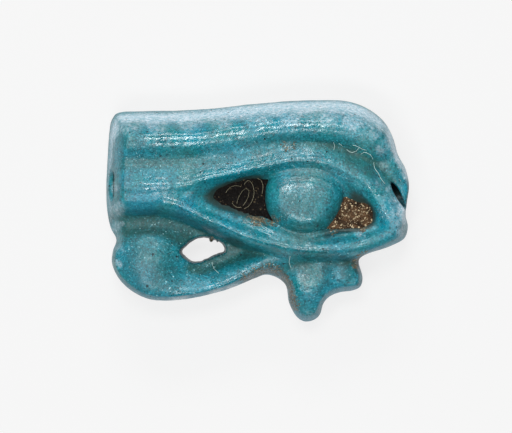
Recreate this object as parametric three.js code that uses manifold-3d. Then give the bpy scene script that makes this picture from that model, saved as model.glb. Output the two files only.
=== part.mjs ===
// Wedjat eye amulet of turquoise faience, lying on its flat back with the eye facing up.
// Millimetres, +Z up, +X towards the front corner of the eye, +Y towards the brow.
// The origin is the middle of the back face.
import * as THREE from 'three';
import { mergeVertices } from 'three/addons/utils/BufferGeometryUtils.js';
import Module from 'manifold-3d';

const wasm = await Module();
wasm.setup();

// Overall size
const AMULET_LENGTH = 20.2;
const AMULET_HEIGHT = 14.8;

// Stringing bore, which runs the length of the amulet behind the eye
const BORE_RADIUS = 0.93;
const BORE_BACK_WALL = 1.75;
const BORE_ROOF = 0.38;
const BORE_OVERRUN = 1.0;
const boreEndShares = [0.612, 0.568];
const BORE_SIDES = 28;

// Flat back with a small rounded edge, then the wall that rounds over to the face.
// The rounding is read a seat's width further in, so the wall stands upright where it starts.
const BACK_ROUND = 0.2;
const RIM_HEIGHT = 0.4;
const EDGE_WIDTH = 1.0;
const EDGE_SEAT = 0.05;
const GAP_RIM_HEIGHT = 1.6;
const GAP_EDGE_WIDTH = 0.25;
const bevelBlendShare = 0.6;
const roundEdgeShare = 2;

// Socket of the eye, with the bore under its floor
const SOCKET_FLOOR = BORE_BACK_WALL + 2 * BORE_RADIUS + BORE_ROOF;
const SOCKET_DEPTH = 1.51;
const LID_ROUND = 0.5;

// Sunk web and the low reliefs on it
const WEB_THICKNESS = 2.8;
const LOBE_HALF_WIDTH = 3.4;
const LOBE_CREST = 4.25;
const LOBE_FOOT = 2.2;
const LOBE_BLEND = 1.2;
const TAIL_HALF_WIDTH = 1.5;
const TAIL_CREST = 4.1;
const TAIL_FOOT = 1.5;
const TAIL_BLEND = 1.0;
const DROP_HALF_WIDTH = 1.7;
const DROP_CREST = 4.1;
const DROP_FOOT = 2.6;
const DROP_BLEND = 0.8;
const SPUR_HALF_WIDTH = 1.45;
const SPUR_CREST = 4.0;
const SPUR_FOOT = 2.6;
const SPUR_BLEND = 0.8;
const SHELF_HALF_WIDTH = 1.5;
const SHELF_CREST = 3.7;
const SHELF_FOOT = 1.0;
const SHELF_BLEND = 0.8;

// Lids, brow and the bar behind the eye, whose heights follow the upper lid's crest
const UPPER_LID_CREST = SOCKET_FLOOR + SOCKET_DEPTH;
const UPPER_LID_HALF_WIDTH = 1.15;
const UPPER_LID_FOOT = 2.5;
const LID_RIM_DROP = 0.15;
const LID_RIM = UPPER_LID_CREST - LID_RIM_DROP;
const LOWER_LID_HALF_WIDTH = 0.98;
const LOWER_LID_DROP = 0.05;
const LOWER_LID_CREST = UPPER_LID_CREST - LOWER_LID_DROP;
const LOWER_LID_FOOT = 2.0;
const FOLD_HALF_WIDTH = 0.75;
const FOLD_DROP = 0.38;
const FOLD_CREST = UPPER_LID_CREST - FOLD_DROP;
const FOLD_FOOT = 4.2;
const BAR_HALF_WIDTH = 1.2;
const BAR_DROP = 0.25;
const BAR_CREST = UPPER_LID_CREST - BAR_DROP;
const BAR_FOOT = 2.0;
const SHOULDER_HALF_WIDTH = 1.55;
const SHOULDER_DROP = 0.3;
const SHOULDER_CREST = UPPER_LID_CREST - SHOULDER_DROP;
const SHOULDER_FOOT = 4.2;
const BROW_HALF_WIDTH = 1.9;
const BROW_LEAD = 0.1;
const BROW_CREST = UPPER_LID_CREST + BROW_LEAD;
const BROW_FOOT = 3.6;
const GROOVE_HALF_WIDTH = 1.5;
const GROOVE_DEPTH = 1.25;
const GROOVE_FLOOR = BROW_CREST - GROOVE_DEPTH;
const GROOVE_FOOT = 3.5;
const GROOVE_BLEND = 0.8;
const BAR_BLEND = 0.4;
const LID_BLEND = 0.5;
const BROW_BLEND = 1.4;
const FACE_BLEND = 0.9;

// Pupil pellet and the soil packed in the corners, bedded in the socket with a hair of clearance
const BED_CLEARANCE = 0.05;
const THINNEST_EDGE = 0.1;
const PUPIL_RISE = 1.2;
const PUPIL_ROUND = 1.1;
const PUPIL_CROWN = 0.3;
const PUPIL_MIDDLE = 2.2;
const REAR_FILL_DEPTH = 0.4;
const FRONT_FILL_DEPTH = 0.55;

// Facets
const FACET = 0.27;
const snapShare = 0.45;
const probeShare = 0.05;
const leastFacetShare = 0.03;
const SPLINE_STEPS = 6;
const SNAP_ROUNDS = 4;

// Colours and roughness of the glaze and the soil
const GLAZE_COLOUR = '#3b96a7';
const PUPIL_COLOUR = '#4f8f99';
const REAR_SOIL_COLOUR = '#2a231d';
const FRONT_SOIL_COLOUR = '#5c4f3f';
const glazeRoughnessShare = 0.3;
const pupilRoughnessShare = 0.35;
const soilRoughnessShare = 0.95;

// Outline: share of the length, share of the height, share of the edge's width, and its fullness,
// which is 1 for a bevel and 2 for a quarter round
const outlineShares = [
  [0.010, 0.860, 0.90, 1.30], [0.021, 0.919, 0.90, 1.40], [0.050, 0.946, 1.00, 1.50],
  [0.145, 0.950, 1.10, 1.60], [0.310, 0.957, 1.10, 1.60], [0.475, 0.980, 0.90, 1.70],
  [0.591, 0.993, 0.90, 1.70], [0.706, 1.000, 1.00, 1.70], [0.789, 0.995, 1.00, 1.70],
  [0.858, 0.966, 0.90, 1.70], [0.917, 0.905, 0.80, 1.80], [0.947, 0.833, 0.55, 2.00],
  [0.964, 0.752, 0.45, 2.00], [0.990, 0.684, 0.30, 2.00], [1.000, 0.612, 0.15, 2.00],
  [0.993, 0.531, 0.15, 2.00], [0.989, 0.477, 0.30, 2.00], [0.997, 0.423, 0.60, 1.60],
  [0.982, 0.371, 0.45, 1.80], [0.931, 0.335, 0.35, 2.00], [0.871, 0.308, 0.25, 2.00],
  [0.842, 0.288, 0.25, 2.00], [0.836, 0.264, 0.30, 2.00], [0.848, 0.203, 0.35, 2.00],
  [0.840, 0.156, 0.40, 2.00], [0.812, 0.139, 0.45, 2.00], [0.772, 0.131, 0.45, 2.00],
  [0.739, 0.113, 0.40, 2.00], [0.719, 0.083, 0.40, 2.00], [0.701, 0.023, 0.50, 2.00],
  [0.662, 0.000, 0.70, 2.00], [0.628, 0.023, 0.60, 2.00], [0.603, 0.085, 0.60, 2.00],
  [0.590, 0.170, 0.60, 2.00], [0.537, 0.211, 0.60, 2.00], [0.492, 0.195, 0.50, 2.00],
  [0.409, 0.148, 0.40, 2.00], [0.310, 0.112, 0.35, 2.00], [0.211, 0.094, 0.35, 2.00],
  [0.129, 0.107, 0.35, 2.00], [0.059, 0.166, 0.35, 2.00], [0.023, 0.243, 0.30, 2.00],
  [0.021, 0.315, 0.35, 2.00], [0.033, 0.369, 0.60, 1.80], [0.015, 0.423, 0.80, 1.40],
  [0.003, 0.504, 0.82, 1.10], [0.000, 0.594, 0.82, 1.05], [0.004, 0.729, 0.82, 1.15],
];

// Openwork gap between the bar and the tail
const gapShares = [
  [0.253, 0.312], [0.261, 0.335], [0.277, 0.358], [0.305, 0.374], [0.332, 0.376],
  [0.365, 0.365], [0.384, 0.346], [0.390, 0.320], [0.365, 0.305], [0.338, 0.290],
  [0.305, 0.273], [0.277, 0.279],
];

// Crest line round the inside of the eye, with the share of the rim's height
const socketShares = [
  [0.262, 0.570, 0.980], [0.285, 0.622, 1.000], [0.337, 0.650, 1.000], [0.400, 0.668, 1.000],
  [0.475, 0.689, 1.000], [0.545, 0.710, 1.010], [0.620, 0.728, 1.010], [0.700, 0.722, 1.010],
  [0.768, 0.692, 1.000], [0.828, 0.643, 1.000], [0.868, 0.587, 1.000], [0.898, 0.525, 1.000],
  [0.912, 0.468, 1.000], [0.895, 0.415, 0.990], [0.838, 0.385, 0.980], [0.772, 0.378, 0.980],
  [0.706, 0.360, 0.980], [0.640, 0.345, 0.980], [0.574, 0.360, 0.980], [0.508, 0.400, 0.980],
  [0.430, 0.435, 0.980], [0.360, 0.470, 0.980], [0.300, 0.505, 0.980], [0.272, 0.535, 0.980],
];

// Line where the slope of the eye reaches the floor of the socket
const socketFloorShares = [
  [0.386, 0.572], [0.416, 0.596], [0.459, 0.617], [0.502, 0.621], [0.558, 0.603],
  [0.607, 0.576], [0.657, 0.558], [0.713, 0.536], [0.766, 0.518], [0.809, 0.511],
  [0.842, 0.506], [0.856, 0.482], [0.842, 0.459], [0.805, 0.452], [0.759, 0.445],
  [0.706, 0.459], [0.657, 0.468], [0.607, 0.477], [0.558, 0.486], [0.498, 0.518],
  [0.442, 0.536], [0.409, 0.554],
];

// The pellet's outline
const pupilShares = [
  [0.523, 0.549], [0.526, 0.612], [0.545, 0.653], [0.591, 0.680], [0.657, 0.689],
  [0.716, 0.675], [0.762, 0.635], [0.784, 0.576], [0.776, 0.513], [0.749, 0.445],
  [0.710, 0.405], [0.657, 0.391], [0.607, 0.405], [0.561, 0.441], [0.533, 0.491],
];

// Ridges: share of the length, share of the height, share of the half width, share of the crest
const browShares = [
  [-0.030, 0.812, 1.00, 0.985], [0.145, 0.812, 1.00, 0.985], [0.310, 0.819, 1.00, 0.985],
  [0.442, 0.840, 0.97, 0.990], [0.574, 0.868, 0.93, 1.000], [0.706, 0.877, 0.95, 1.000],
  [0.799, 0.860, 0.98, 0.980], [0.868, 0.820, 0.98, 0.950], [0.905, 0.770, 0.87, 0.880],
  [0.920, 0.725, 0.75, 0.780],
];
const grooveShares = [
  [-0.030, 0.722, 1.00, 1.100], [0.053, 0.722, 1.00, 1.050], [0.145, 0.722, 1.00, 1.000],
  [0.277, 0.727, 1.00, 0.990], [0.400, 0.762, 0.80, 0.990], [0.500, 0.792, 0.80, 1.010],
  [0.600, 0.806, 0.80, 1.020], [0.720, 0.800, 0.90, 1.000], [0.810, 0.762, 1.00, 0.970],
  [0.865, 0.710, 0.90, 0.940], [0.900, 0.650, 0.80, 0.860],
];
const barShares = [
  [-0.030, 0.563, 1.00, 0.985], [0.112, 0.563, 1.00, 0.990], [0.211, 0.562, 0.92, 0.990],
  [0.267, 0.556, 0.75, 0.980],
];
const shoulderShares = [
  [-0.030, 0.637, 1.00, 0.990], [0.145, 0.637, 1.00, 1.000], [0.244, 0.642, 1.00, 0.985],
  [0.327, 0.668, 0.90, 0.960], [0.409, 0.702, 0.80, 0.945], [0.508, 0.735, 0.70, 0.945],
  [0.607, 0.748, 0.70, 0.950],
];
const foldShares = [
  [0.238, 0.645, 1.10, 0.880], [0.300, 0.675, 1.10, 0.885], [0.350, 0.697, 1.00, 0.900],
  [0.403, 0.720, 1.00, 0.915], [0.459, 0.738, 1.00, 0.935], [0.531, 0.752, 1.00, 0.955],
  [0.601, 0.755, 1.00, 0.960],
];
const upperLidShares = [
  [-0.030, 0.612, 0.95, 0.970], [0.145, 0.612, 0.95, 0.975], [0.254, 0.616, 0.90, 0.975],
  [0.310, 0.636, 0.90, 0.980], [0.376, 0.656, 0.95, 0.980], [0.449, 0.673, 1.00, 0.985],
  [0.515, 0.698, 1.00, 0.990], [0.624, 0.728, 1.10, 1.000], [0.706, 0.727, 1.10, 0.990],
  [0.789, 0.690, 1.10, 0.980], [0.855, 0.635, 1.10, 0.970], [0.894, 0.565, 1.15, 0.970],
  [0.922, 0.500, 1.20, 0.970], [0.944, 0.441, 1.20, 0.960],
];
const lowerLidShares = [
  [0.200, 0.545, 1.10, 0.970], [0.265, 0.518, 1.00, 0.980], [0.320, 0.476, 0.85, 0.980],
  [0.388, 0.437, 0.85, 0.970], [0.455, 0.397, 0.88, 0.960], [0.541, 0.361, 0.90, 0.950],
  [0.640, 0.333, 0.92, 0.950], [0.740, 0.332, 0.96, 0.950], [0.838, 0.346, 1.05, 0.960],
  [0.921, 0.388, 1.15, 0.960], [0.960, 0.415, 1.05, 0.950],
];
const lobeShares = [
  [0.130, 0.265, 1.00, 1.000], [0.155, 0.268, 1.00, 1.000],
];
const tailShares = [
  [0.139, 0.175, 1.30, 0.970], [0.238, 0.141, 1.20, 0.970], [0.310, 0.148, 1.05, 0.960],
  [0.360, 0.161, 1.00, 0.960], [0.409, 0.188, 0.95, 0.970], [0.459, 0.227, 0.90, 0.980],
  [0.498, 0.256, 0.90, 0.990], [0.571, 0.288, 0.90, 1.000], [0.640, 0.301, 0.90, 1.000],
];
const dropShares = [
  [0.670, 0.288, 1.30, 0.930], [0.673, 0.234, 1.20, 0.985], [0.673, 0.170, 1.05, 1.000],
  [0.667, 0.112, 0.90, 0.950], [0.660, 0.049, 0.75, 0.820],
];
const spurShares = [
  [0.713, 0.270, 1.30, 0.970], [0.756, 0.243, 1.20, 0.980], [0.792, 0.211, 1.05, 0.970],
  [0.815, 0.188, 0.95, 0.930],
];
const shelfShares = [
  [0.890, 0.780, 1.00, 1.000], [0.935, 0.700, 1.00, 1.030], [0.955, 0.600, 1.00, 1.050],
  [0.955, 0.510, 0.90, 1.000],
];

// Form of each ridge's section: 1 is a parabola, less is flatter on top with steeper sides
const lobeFormShare = 1.2;
const tailFormShare = 0.75;
const dropFormShare = 0.5;
const spurFormShare = 0.6;
const shelfFormShare = 0.6;
const browFormShare = 0.9;
const grooveFormShare = 1.0;
const barFormShare = 0.28;
const shoulderFormShare = 1.2;
const upperLidFormShare = 0.5;
const foldFormShare = 1.0;
const lowerLidFormShare = 0.42;

// A smooth curve through rows that start with two shares, as rows that start with x and y.
function smoothRows(rows, closed) {
  const placed = rows.map(([along, up, ...rest]) => [
    (along - 0.5) * AMULET_LENGTH,
    (up - 0.5) * AMULET_HEIGHT,
    ...rest,
  ]);
  const count = placed.length;
  const last = count - 1;
  const at = (i) => placed[closed ? (i + count) % count : THREE.MathUtils.clamp(i, 0, last)];
  const curve = [];
  for (let i = 0; i < (closed ? count : count - 1); i++) {
    for (let step = 0; step < SPLINE_STEPS; step++) {
      const t = step / SPLINE_STEPS;
      const [before, from, to, after] = [at(i - 1), at(i), at(i + 1), at(i + 2)];
      curve.push(from.map((value, k) => cubicThrough(before[k], value, to[k], after[k], t)));
    }
  }
  if (!closed) curve.push(placed[last]);
  return curve;
}

// The value at t between b and c of the cubic that also heeds the neighbours a and d.
function cubicThrough(a, b, c, d, t) {
  const slopeIn = (c - a) / 2;
  const slopeOut = (d - b) / 2;
  const t2 = t * t;
  const t3 = t2 * t;
  return b + slopeIn * t + (3 * (c - b) - 2 * slopeIn - slopeOut) * t2
    + (2 * (b - c) + slopeIn + slopeOut) * t3;
}

// The nearest place on a run of rows: its distance, and the row's further values there.
function nearestOn(rows, closed, x, y) {
  let nearest = Infinity;
  let span = 0;
  let share = 0;
  const spans = closed ? rows.length : rows.length - 1;
  for (let i = 0; i < spans; i++) {
    const a = rows[i];
    const b = rows[(i + 1) % rows.length];
    const alongX = b[0] - a[0];
    const alongY = b[1] - a[1];
    const square = alongX * alongX + alongY * alongY || 1;
    const t = Math.min(Math.max(((x - a[0]) * alongX + (y - a[1]) * alongY) / square, 0), 1);
    const offX = x - a[0] - t * alongX;
    const offY = y - a[1] - t * alongY;
    const apart = offX * offX + offY * offY;
    if (apart < nearest) [nearest, span, share] = [apart, i, t];
  }
  const next = rows[(span + 1) % rows.length];
  const values = rows[span].slice(2).map((value, k) => value + share * (next[k + 2] - value));
  return { distance: Math.sqrt(nearest), values };
}

// A closed outline: how deep a point lies inside it (negative outside), and the shares there.
function makeOutline(rows) {
  const curve = smoothRows(rows, true);
  return (x, y) => {
    const { distance, values } = nearestOn(curve, true, x, y);
    let inside = false;
    curve.forEach((a, i) => {
      const b = curve[(i + 1) % curve.length];
      if (a[1] > y !== b[1] > y && x < ((b[0] - a[0]) * (y - a[1])) / (b[1] - a[1]) + a[0]) {
        inside = !inside;
      }
    });
    return { depth: inside ? distance : -distance, values };
  };
}

// A ridge: its height over the back at any place, sinking away steadily beyond its foot.
function makeRidge(rows, halfWidth, crest, foot, form) {
  const curve = smoothRows(rows, false);
  return (x, y) => {
    const { distance, values } = nearestOn(curve, false, x, y);
    const reach = distance / (values[0] * halfWidth);
    const beyond = Math.max(reach - 1, 0) * halfWidth;
    return foot + (values[1] * crest - foot) * Math.max(1 - reach * reach, 0) ** form - beyond;
  };
}

// The larger of two heights, with a rounded valley where they meet.
function blendUp(a, b, blend) {
  const overlap = Math.max(blend - Math.abs(a - b), 0) / blend;
  return Math.max(a, b) + (overlap * overlap * blend) / 4;
}

// The smaller of two heights, with a rounded shoulder where they meet.
function blendDown(a, b, blend) {
  return -blendUp(-a, -b, blend);
}

// Share of the full height at a distance from an edge, between a bevel and a quarter round.
function edgeRise(distance, width, fullness) {
  const across = Math.max(distance + EDGE_SEAT, 0) / width;
  const bevel = blendDown(across, 1, bevelBlendShare);
  const left = 1 - Math.min(across, 1);
  return THREE.MathUtils.lerp(bevel, Math.sqrt(1 - left * left), fullness - 1);
}

const outline = makeOutline(outlineShares);
const gap = makeOutline(gapShares);
const socket = makeOutline(socketShares);
const socketFloor = makeOutline(socketFloorShares);
const pupilOutline = makeOutline(pupilShares);
const lobe = makeRidge(lobeShares, LOBE_HALF_WIDTH, LOBE_CREST, LOBE_FOOT, lobeFormShare);
const tail = makeRidge(tailShares, TAIL_HALF_WIDTH, TAIL_CREST, TAIL_FOOT, tailFormShare);
const drop = makeRidge(dropShares, DROP_HALF_WIDTH, DROP_CREST, DROP_FOOT, dropFormShare);
const spur = makeRidge(spurShares, SPUR_HALF_WIDTH, SPUR_CREST, SPUR_FOOT, spurFormShare);
const shelf = makeRidge(shelfShares, SHELF_HALF_WIDTH, SHELF_CREST, SHELF_FOOT, shelfFormShare);
const brow = makeRidge(browShares, BROW_HALF_WIDTH, BROW_CREST, BROW_FOOT, browFormShare);
const groove = makeRidge(
  grooveShares, GROOVE_HALF_WIDTH, GROOVE_FLOOR, GROOVE_FOOT, grooveFormShare);
const bar = makeRidge(barShares, BAR_HALF_WIDTH, BAR_CREST, BAR_FOOT, barFormShare);
const shoulder = makeRidge(
  shoulderShares, SHOULDER_HALF_WIDTH, SHOULDER_CREST, SHOULDER_FOOT, shoulderFormShare);
const upperLid = makeRidge(
  upperLidShares, UPPER_LID_HALF_WIDTH, UPPER_LID_CREST, UPPER_LID_FOOT, upperLidFormShare);
const fold = makeRidge(foldShares, FOLD_HALF_WIDTH, FOLD_CREST, FOLD_FOOT, foldFormShare);
const lowerLid = makeRidge(
  lowerLidShares, LOWER_LID_HALF_WIDTH, LOWER_LID_CREST, LOWER_LID_FOOT, lowerLidFormShare);

// The raised relief before the socket is sunk and the edges are rounded.
function reliefHeight(x, y) {
  let low = blendUp(WEB_THICKNESS, lobe(x, y), LOBE_BLEND);
  low = blendUp(low, tail(x, y), TAIL_BLEND);
  low = blendUp(low, drop(x, y), DROP_BLEND);
  low = blendUp(low, spur(x, y), SPUR_BLEND);
  low = blendUp(low, shelf(x, y), SHELF_BLEND);
  let lids = blendUp(bar(x, y), shoulder(x, y), BAR_BLEND);
  lids = blendUp(lids, upperLid(x, y), LID_BLEND);
  lids = blendUp(lids, fold(x, y), LID_BLEND);
  lids = blendUp(lids, lowerLid(x, y), LID_BLEND);
  const browAndGroove = blendUp(brow(x, y), groove(x, y), GROOVE_BLEND);
  return blendUp(low, blendUp(browAndGroove, lids, BROW_BLEND), FACE_BLEND);
}

// The slope of the eye, from its crest line down to the floor of the socket.
function socketHeight(eye, x, y) {
  const beforeFloor = Math.max(-socketFloor(x, y).depth, 0);
  const down = eye.depth > 0 ? eye.depth / (eye.depth + beforeFloor) : 0;
  const fall = (down + THREE.MathUtils.smoothstep(down, 0, 1)) / 2;
  return THREE.MathUtils.lerp(eye.values[0] * LID_RIM, SOCKET_FLOOR, fall);
}

// The front of the body: the relief, sunk in the socket and rounded over at the edges.
function frontHeight(x, y) {
  const eye = socket(x, y);
  const inEye = THREE.MathUtils.smoothstep(eye.depth, 0, LID_ROUND);
  const relief = THREE.MathUtils.lerp(reliefHeight(x, y), socketHeight(eye, x, y), inEye);
  const edge = outline(x, y);
  const [width, fullness] = edge.values;
  const rise = edgeRise(edge.depth, width * EDGE_WIDTH, fullness);
  const gapRise = edgeRise(-gap(x, y).depth, GAP_EDGE_WIDTH, roundEdgeShare);
  const height = THREE.MathUtils.lerp(RIM_HEIGHT, relief, rise);
  return THREE.MathUtils.lerp(GAP_RIM_HEIGHT, height, gapRise);
}

// The flat back, at the height of the origin.
function backFace() {
  return 0;
}

// The pellet's top: a low crown within a rounded flank that starts at the socket's floor.
function pupilHeight(x, y) {
  const { depth } = pupilOutline(x, y);
  const flank = THREE.MathUtils.clamp(depth / PUPIL_ROUND, 0, 1);
  const crown = THREE.MathUtils.clamp(depth / PUPIL_MIDDLE, 0, 1);
  return SOCKET_FLOOR + PUPIL_RISE * Math.sqrt(flank * (2 - flank))
    + PUPIL_CROWN * crown * (2 - crown);
}

// A closed slab over the region where inside(x, y) is positive, from bottom(x, y) up to top(x, y).
// Grid points near the region's edge move onto it. The facets follow the creases of the relief.
function slab(inside, top, bottom, relief) {
  const columns = 2 * Math.ceil(AMULET_LENGTH / FACET / 2) + 2;
  const rows = 2 * Math.ceil(AMULET_HEIGHT / FACET / 2) + 2;
  const points = [];
  const keyOf = (i, j) => j * (columns + 1) + i;
  for (let j = 0; j <= rows; j++) {
    for (let i = 0; i <= columns; i++) {
      const point = { x: (i - columns / 2) * FACET, y: (j - rows / 2) * FACET };
      const level = inside(point.x, point.y);
      const nearEdge = Math.abs(level) < snapShare * FACET;
      point.kept = (nearEdge && snapTo(inside, point)) || level > 0;
      points.push(point);
    }
  }

  const heightAt = (key) => relief(points[key].x, points[key].y);
  const faces = [];
  for (let j = 0; j < rows; j++) {
    for (let i = 0; i < columns; i++) {
      const corners = [keyOf(i, j), keyOf(i + 1, j), keyOf(i + 1, j + 1), keyOf(i, j + 1)];
      const kept = corners.filter((key) => points[key].kept);
      if (kept.length === 3) faces.push(kept);
      if (kept.length < 4) continue;
      const [a, b, c, d] = corners;
      const [heightA, heightB, heightC, heightD] = corners.map(heightAt);
      if (Math.abs(heightA - heightC) < Math.abs(heightB - heightD)) faces.push([a, b, c], [a, c, d]);
      else faces.push([a, b, d], [b, c, d]);
    }
  }
  const sound = largestRegion(withoutSlivers(faces, points));
  for (const key of edgeKeys(sound)) snapTo(inside, points[key]);
  const whole = largestRegion(withoutSlivers(sound, points));
  if (bottom === backFace) return closeOnBack(whole, points, inside, top);
  return closeOnBed(whole, points, top, bottom);
}

// The uphill direction of a level function, with its steepness.
function gradientOf(level, x, y) {
  const probe = probeShare * FACET;
  return new THREE.Vector2(
    level(x + probe, y) - level(x - probe, y),
    level(x, y + probe) - level(x, y - probe),
  ).divideScalar(2 * probe);
}

// Moves a point to where the level function is zero, if that is less than a facet away.
function snapTo(inside, point) {
  const moved = new THREE.Vector2(point.x, point.y);
  for (let round = 0; round < SNAP_ROUNDS; round++) {
    const uphill = gradientOf(inside, moved.x, moved.y);
    const step = -inside(moved.x, moved.y) / Math.max(uphill.lengthSq(), probeShare);
    moved.addScaledVector(uphill, step);
  }
  const far = moved.distanceTo(new THREE.Vector2(point.x, point.y)) > FACET;
  if (far || Math.abs(inside(moved.x, moved.y)) > probeShare * FACET) return false;
  [point.x, point.y] = [moved.x, moved.y];
  return true;
}

// The faces that are neither turned over nor almost without area.
function withoutSlivers(faces, points) {
  const least = leastFacetShare * FACET * FACET;
  return faces.filter(([a, b, c]) => {
    const [p, q, r] = [points[a], points[b], points[c]];
    return (q.x - p.x) * (r.y - p.y) - (q.y - p.y) * (r.x - p.x) > least;
  });
}

// The directed edges that only one face has, as pairs of keys.
function openEdges(faces) {
  const seen = new Map();
  for (const [a, b, c] of faces) {
    for (const [from, to] of [[a, b], [b, c], [c, a]]) seen.set(`${from} ${to}`, [from, to]);
  }
  return [...seen.values()].filter(([from, to]) => !seen.has(`${to} ${from}`));
}

function edgeKeys(faces) {
  return new Set(openEdges(faces).flat());
}

// The largest group of faces that hang together edge to edge, without faces that meet at a point.
function largestRegion(faces) {
  let sound = faces;
  for (;;) {
    const counts = new Map();
    for (const [from] of openEdges(sound)) counts.set(from, (counts.get(from) || 0) + 1);
    const pinched = new Set([...counts].filter(([, count]) => count > 1).map(([key]) => key));
    if (!pinched.size) break;
    sound = sound.filter((face) => !face.some((key) => pinched.has(key)));
  }
  const byEdge = new Map();
  for (const face of sound) {
    const [a, b, c] = face;
    for (const [from, to] of [[a, b], [b, c], [c, a]]) byEdge.set(`${from} ${to}`, face);
  }
  let largest = [];
  const left = new Set(sound);
  while (left.size) {
    const region = [left.values().next().value];
    left.delete(region[0]);
    for (const [a, b, c] of region) {
      for (const [from, to] of [[a, b], [b, c], [c, a]]) {
        const neighbour = byEdge.get(`${to} ${from}`);
        if (neighbour && left.delete(neighbour)) region.push(neighbour);
      }
    }
    if (region.length > largest.length) largest = region;
  }
  return largest;
}

// The open edges chained into closed loops of keys, the longest loop first.
function edgeLoops(faces) {
  const next = new Map(openEdges(faces));
  const loops = [];
  while (next.size) {
    const loop = [];
    let key = next.keys().next().value;
    while (next.has(key)) {
      loop.push(key);
      const following = next.get(key);
      next.delete(key);
      key = following;
    }
    loops.push(loop);
  }
  return loops.sort((a, b) => b.length - a.length);
}

// The side between two rings of corners, each a map from an edge's key to its corner.
function sideCorners(faces, below, above) {
  return openEdges(faces).flatMap(([from, to]) => [
    below.get(from), below.get(to), above.get(to),
    below.get(from), above.get(to), above.get(from),
  ]);
}

function solidFromCorners(corners) {
  const geometry = new THREE.BufferGeometry();
  geometry.setAttribute('position', new THREE.Float32BufferAttribute(corners.flat(), 3));
  return solidOf(geometry);
}

// Closes flat faces between a top and a bottom that both follow the grid.
function closeOnBed(faces, points, top, bottom) {
  const keys = [...new Set(faces.flat())];
  const upper = new Map(keys.map((key) => [key, cornerOn(points[key], top)]));
  const lower = new Map(keys.map((key) => [key, cornerOn(points[key], bottom)]));
  const caps = faces.flatMap(([a, b, c]) => [
    upper.get(a), upper.get(b), upper.get(c), lower.get(a), lower.get(c), lower.get(b),
  ]);
  return solidFromCorners([...caps, ...sideCorners(faces, lower, upper)]);
}

// Closes flat faces between the top and the flat back, whose edge is rounded.
function closeOnBack(faces, points, inside, top) {
  const upper = new Map([...new Set(faces.flat())].map((key) => [key, cornerOn(points[key], top)]));
  const waist = new Map();
  const back = new Map();
  for (const key of edgeKeys(faces)) {
    const { x, y } = points[key];
    const inward = gradientOf(inside, x, y).normalize().multiplyScalar(BACK_ROUND);
    waist.set(key, [x, y, BACK_ROUND]);
    back.set(key, [x + inward.x, y + inward.y, backFace()]);
  }
  const loops = edgeLoops(faces);
  const flat = loops.map((loop) => loop.map((key) => new THREE.Vector2(...back.get(key))));
  const ring = loops.flat().map((key) => back.get(key));
  const backFaces = THREE.ShapeUtils.triangulateShape(flat[0], flat.slice(1));
  return solidFromCorners([
    ...faces.flatMap((face) => face.map((key) => upper.get(key))),
    ...backFaces.flatMap(([a, b, c]) => [ring[a], ring[c], ring[b]]),
    ...sideCorners(faces, back, waist),
    ...sideCorners(faces, waist, upper),
  ]);
}

function cornerOn({ x, y }, height) {
  return [x, y, height(x, y)];
}

// A closed geometry as a solid that can be cut.
function solidOf(geometry) {
  const bare = geometry.clone();
  bare.deleteAttribute('normal');
  bare.deleteAttribute('uv');
  const merged = mergeVertices(bare);
  return new wasm.Manifold(new wasm.Mesh({
    numProp: 3,
    vertProperties: new Float32Array(merged.attributes.position.array),
    triVerts: new Uint32Array(merged.index.array),
  }));
}

// A solid as a named mesh with flat facets.
function meshOf(name, solid, colour, roughness) {
  const { numProp, vertProperties, triVerts } = solid.getMesh();
  const positions = new Float32Array((vertProperties.length / numProp) * 3);
  for (let i = 0; i * 3 < positions.length; i++) {
    positions.set(vertProperties.subarray(i * numProp, i * numProp + 3), i * 3);
  }
  const geometry = new THREE.BufferGeometry();
  geometry.setAttribute('position', new THREE.BufferAttribute(positions, 3));
  geometry.setIndex(new THREE.BufferAttribute(triVerts, 1));
  geometry.computeVertexNormals();
  const material = new THREE.MeshStandardMaterial({ color: colour, roughness, metalness: 0 });
  const mesh = new THREE.Mesh(geometry, material);
  mesh.name = name;
  return mesh;
}

// The bore as a rod between its two mouths, a little longer than the amulet.
function boreSolid() {
  const height = BORE_BACK_WALL + BORE_RADIUS;
  const [left, right] = boreEndShares.map((share, end) => new THREE.Vector3(
    (end - 0.5) * AMULET_LENGTH, (share - 0.5) * AMULET_HEIGHT, height));
  const along = right.clone().sub(left);
  const rod = new THREE.CylinderGeometry(
    BORE_RADIUS, BORE_RADIUS, along.length() + 2 * BORE_OVERRUN, BORE_SIDES);
  const turn = new THREE.Quaternion().setFromUnitVectors(
    new THREE.Vector3(0, 1, 0), along.clone().normalize());
  const middle = left.clone().add(right).multiplyScalar(0.5);
  rod.applyQuaternion(turn).translate(middle.x, middle.y, middle.z);
  return solidOf(rod);
}

function bodySolid() {
  const inBody = (x, y) => Math.min(outline(x, y).depth, -gap(x, y).depth);
  return slab(inBody, frontHeight, backFace, frontHeight).subtract(boreSolid());
}

// The bed of whatever lies in the socket: the body's front with the clearance square to it.
function bedHeight(x, y) {
  const slope = gradientOf(frontHeight, x, y);
  return frontHeight(x, y) + BED_CLEARANCE * Math.sqrt(1 + slope.lengthSq());
}

// How deep a place lies in a piece bedded in the socket, given how deep it is in its outline.
function depthOnBed(outlineDepth, height, x, y) {
  if (outlineDepth < -FACET) return outlineDepth;
  return Math.min(outlineDepth, socket(x, y).depth, height - bedHeight(x, y) - THINNEST_EDGE);
}

function pupilSolid() {
  const inPupil = (x, y) => depthOnBed(pupilOutline(x, y).depth, pupilHeight(x, y), x, y);
  return slab(inPupil, pupilHeight, bedHeight, frontHeight);
}

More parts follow.
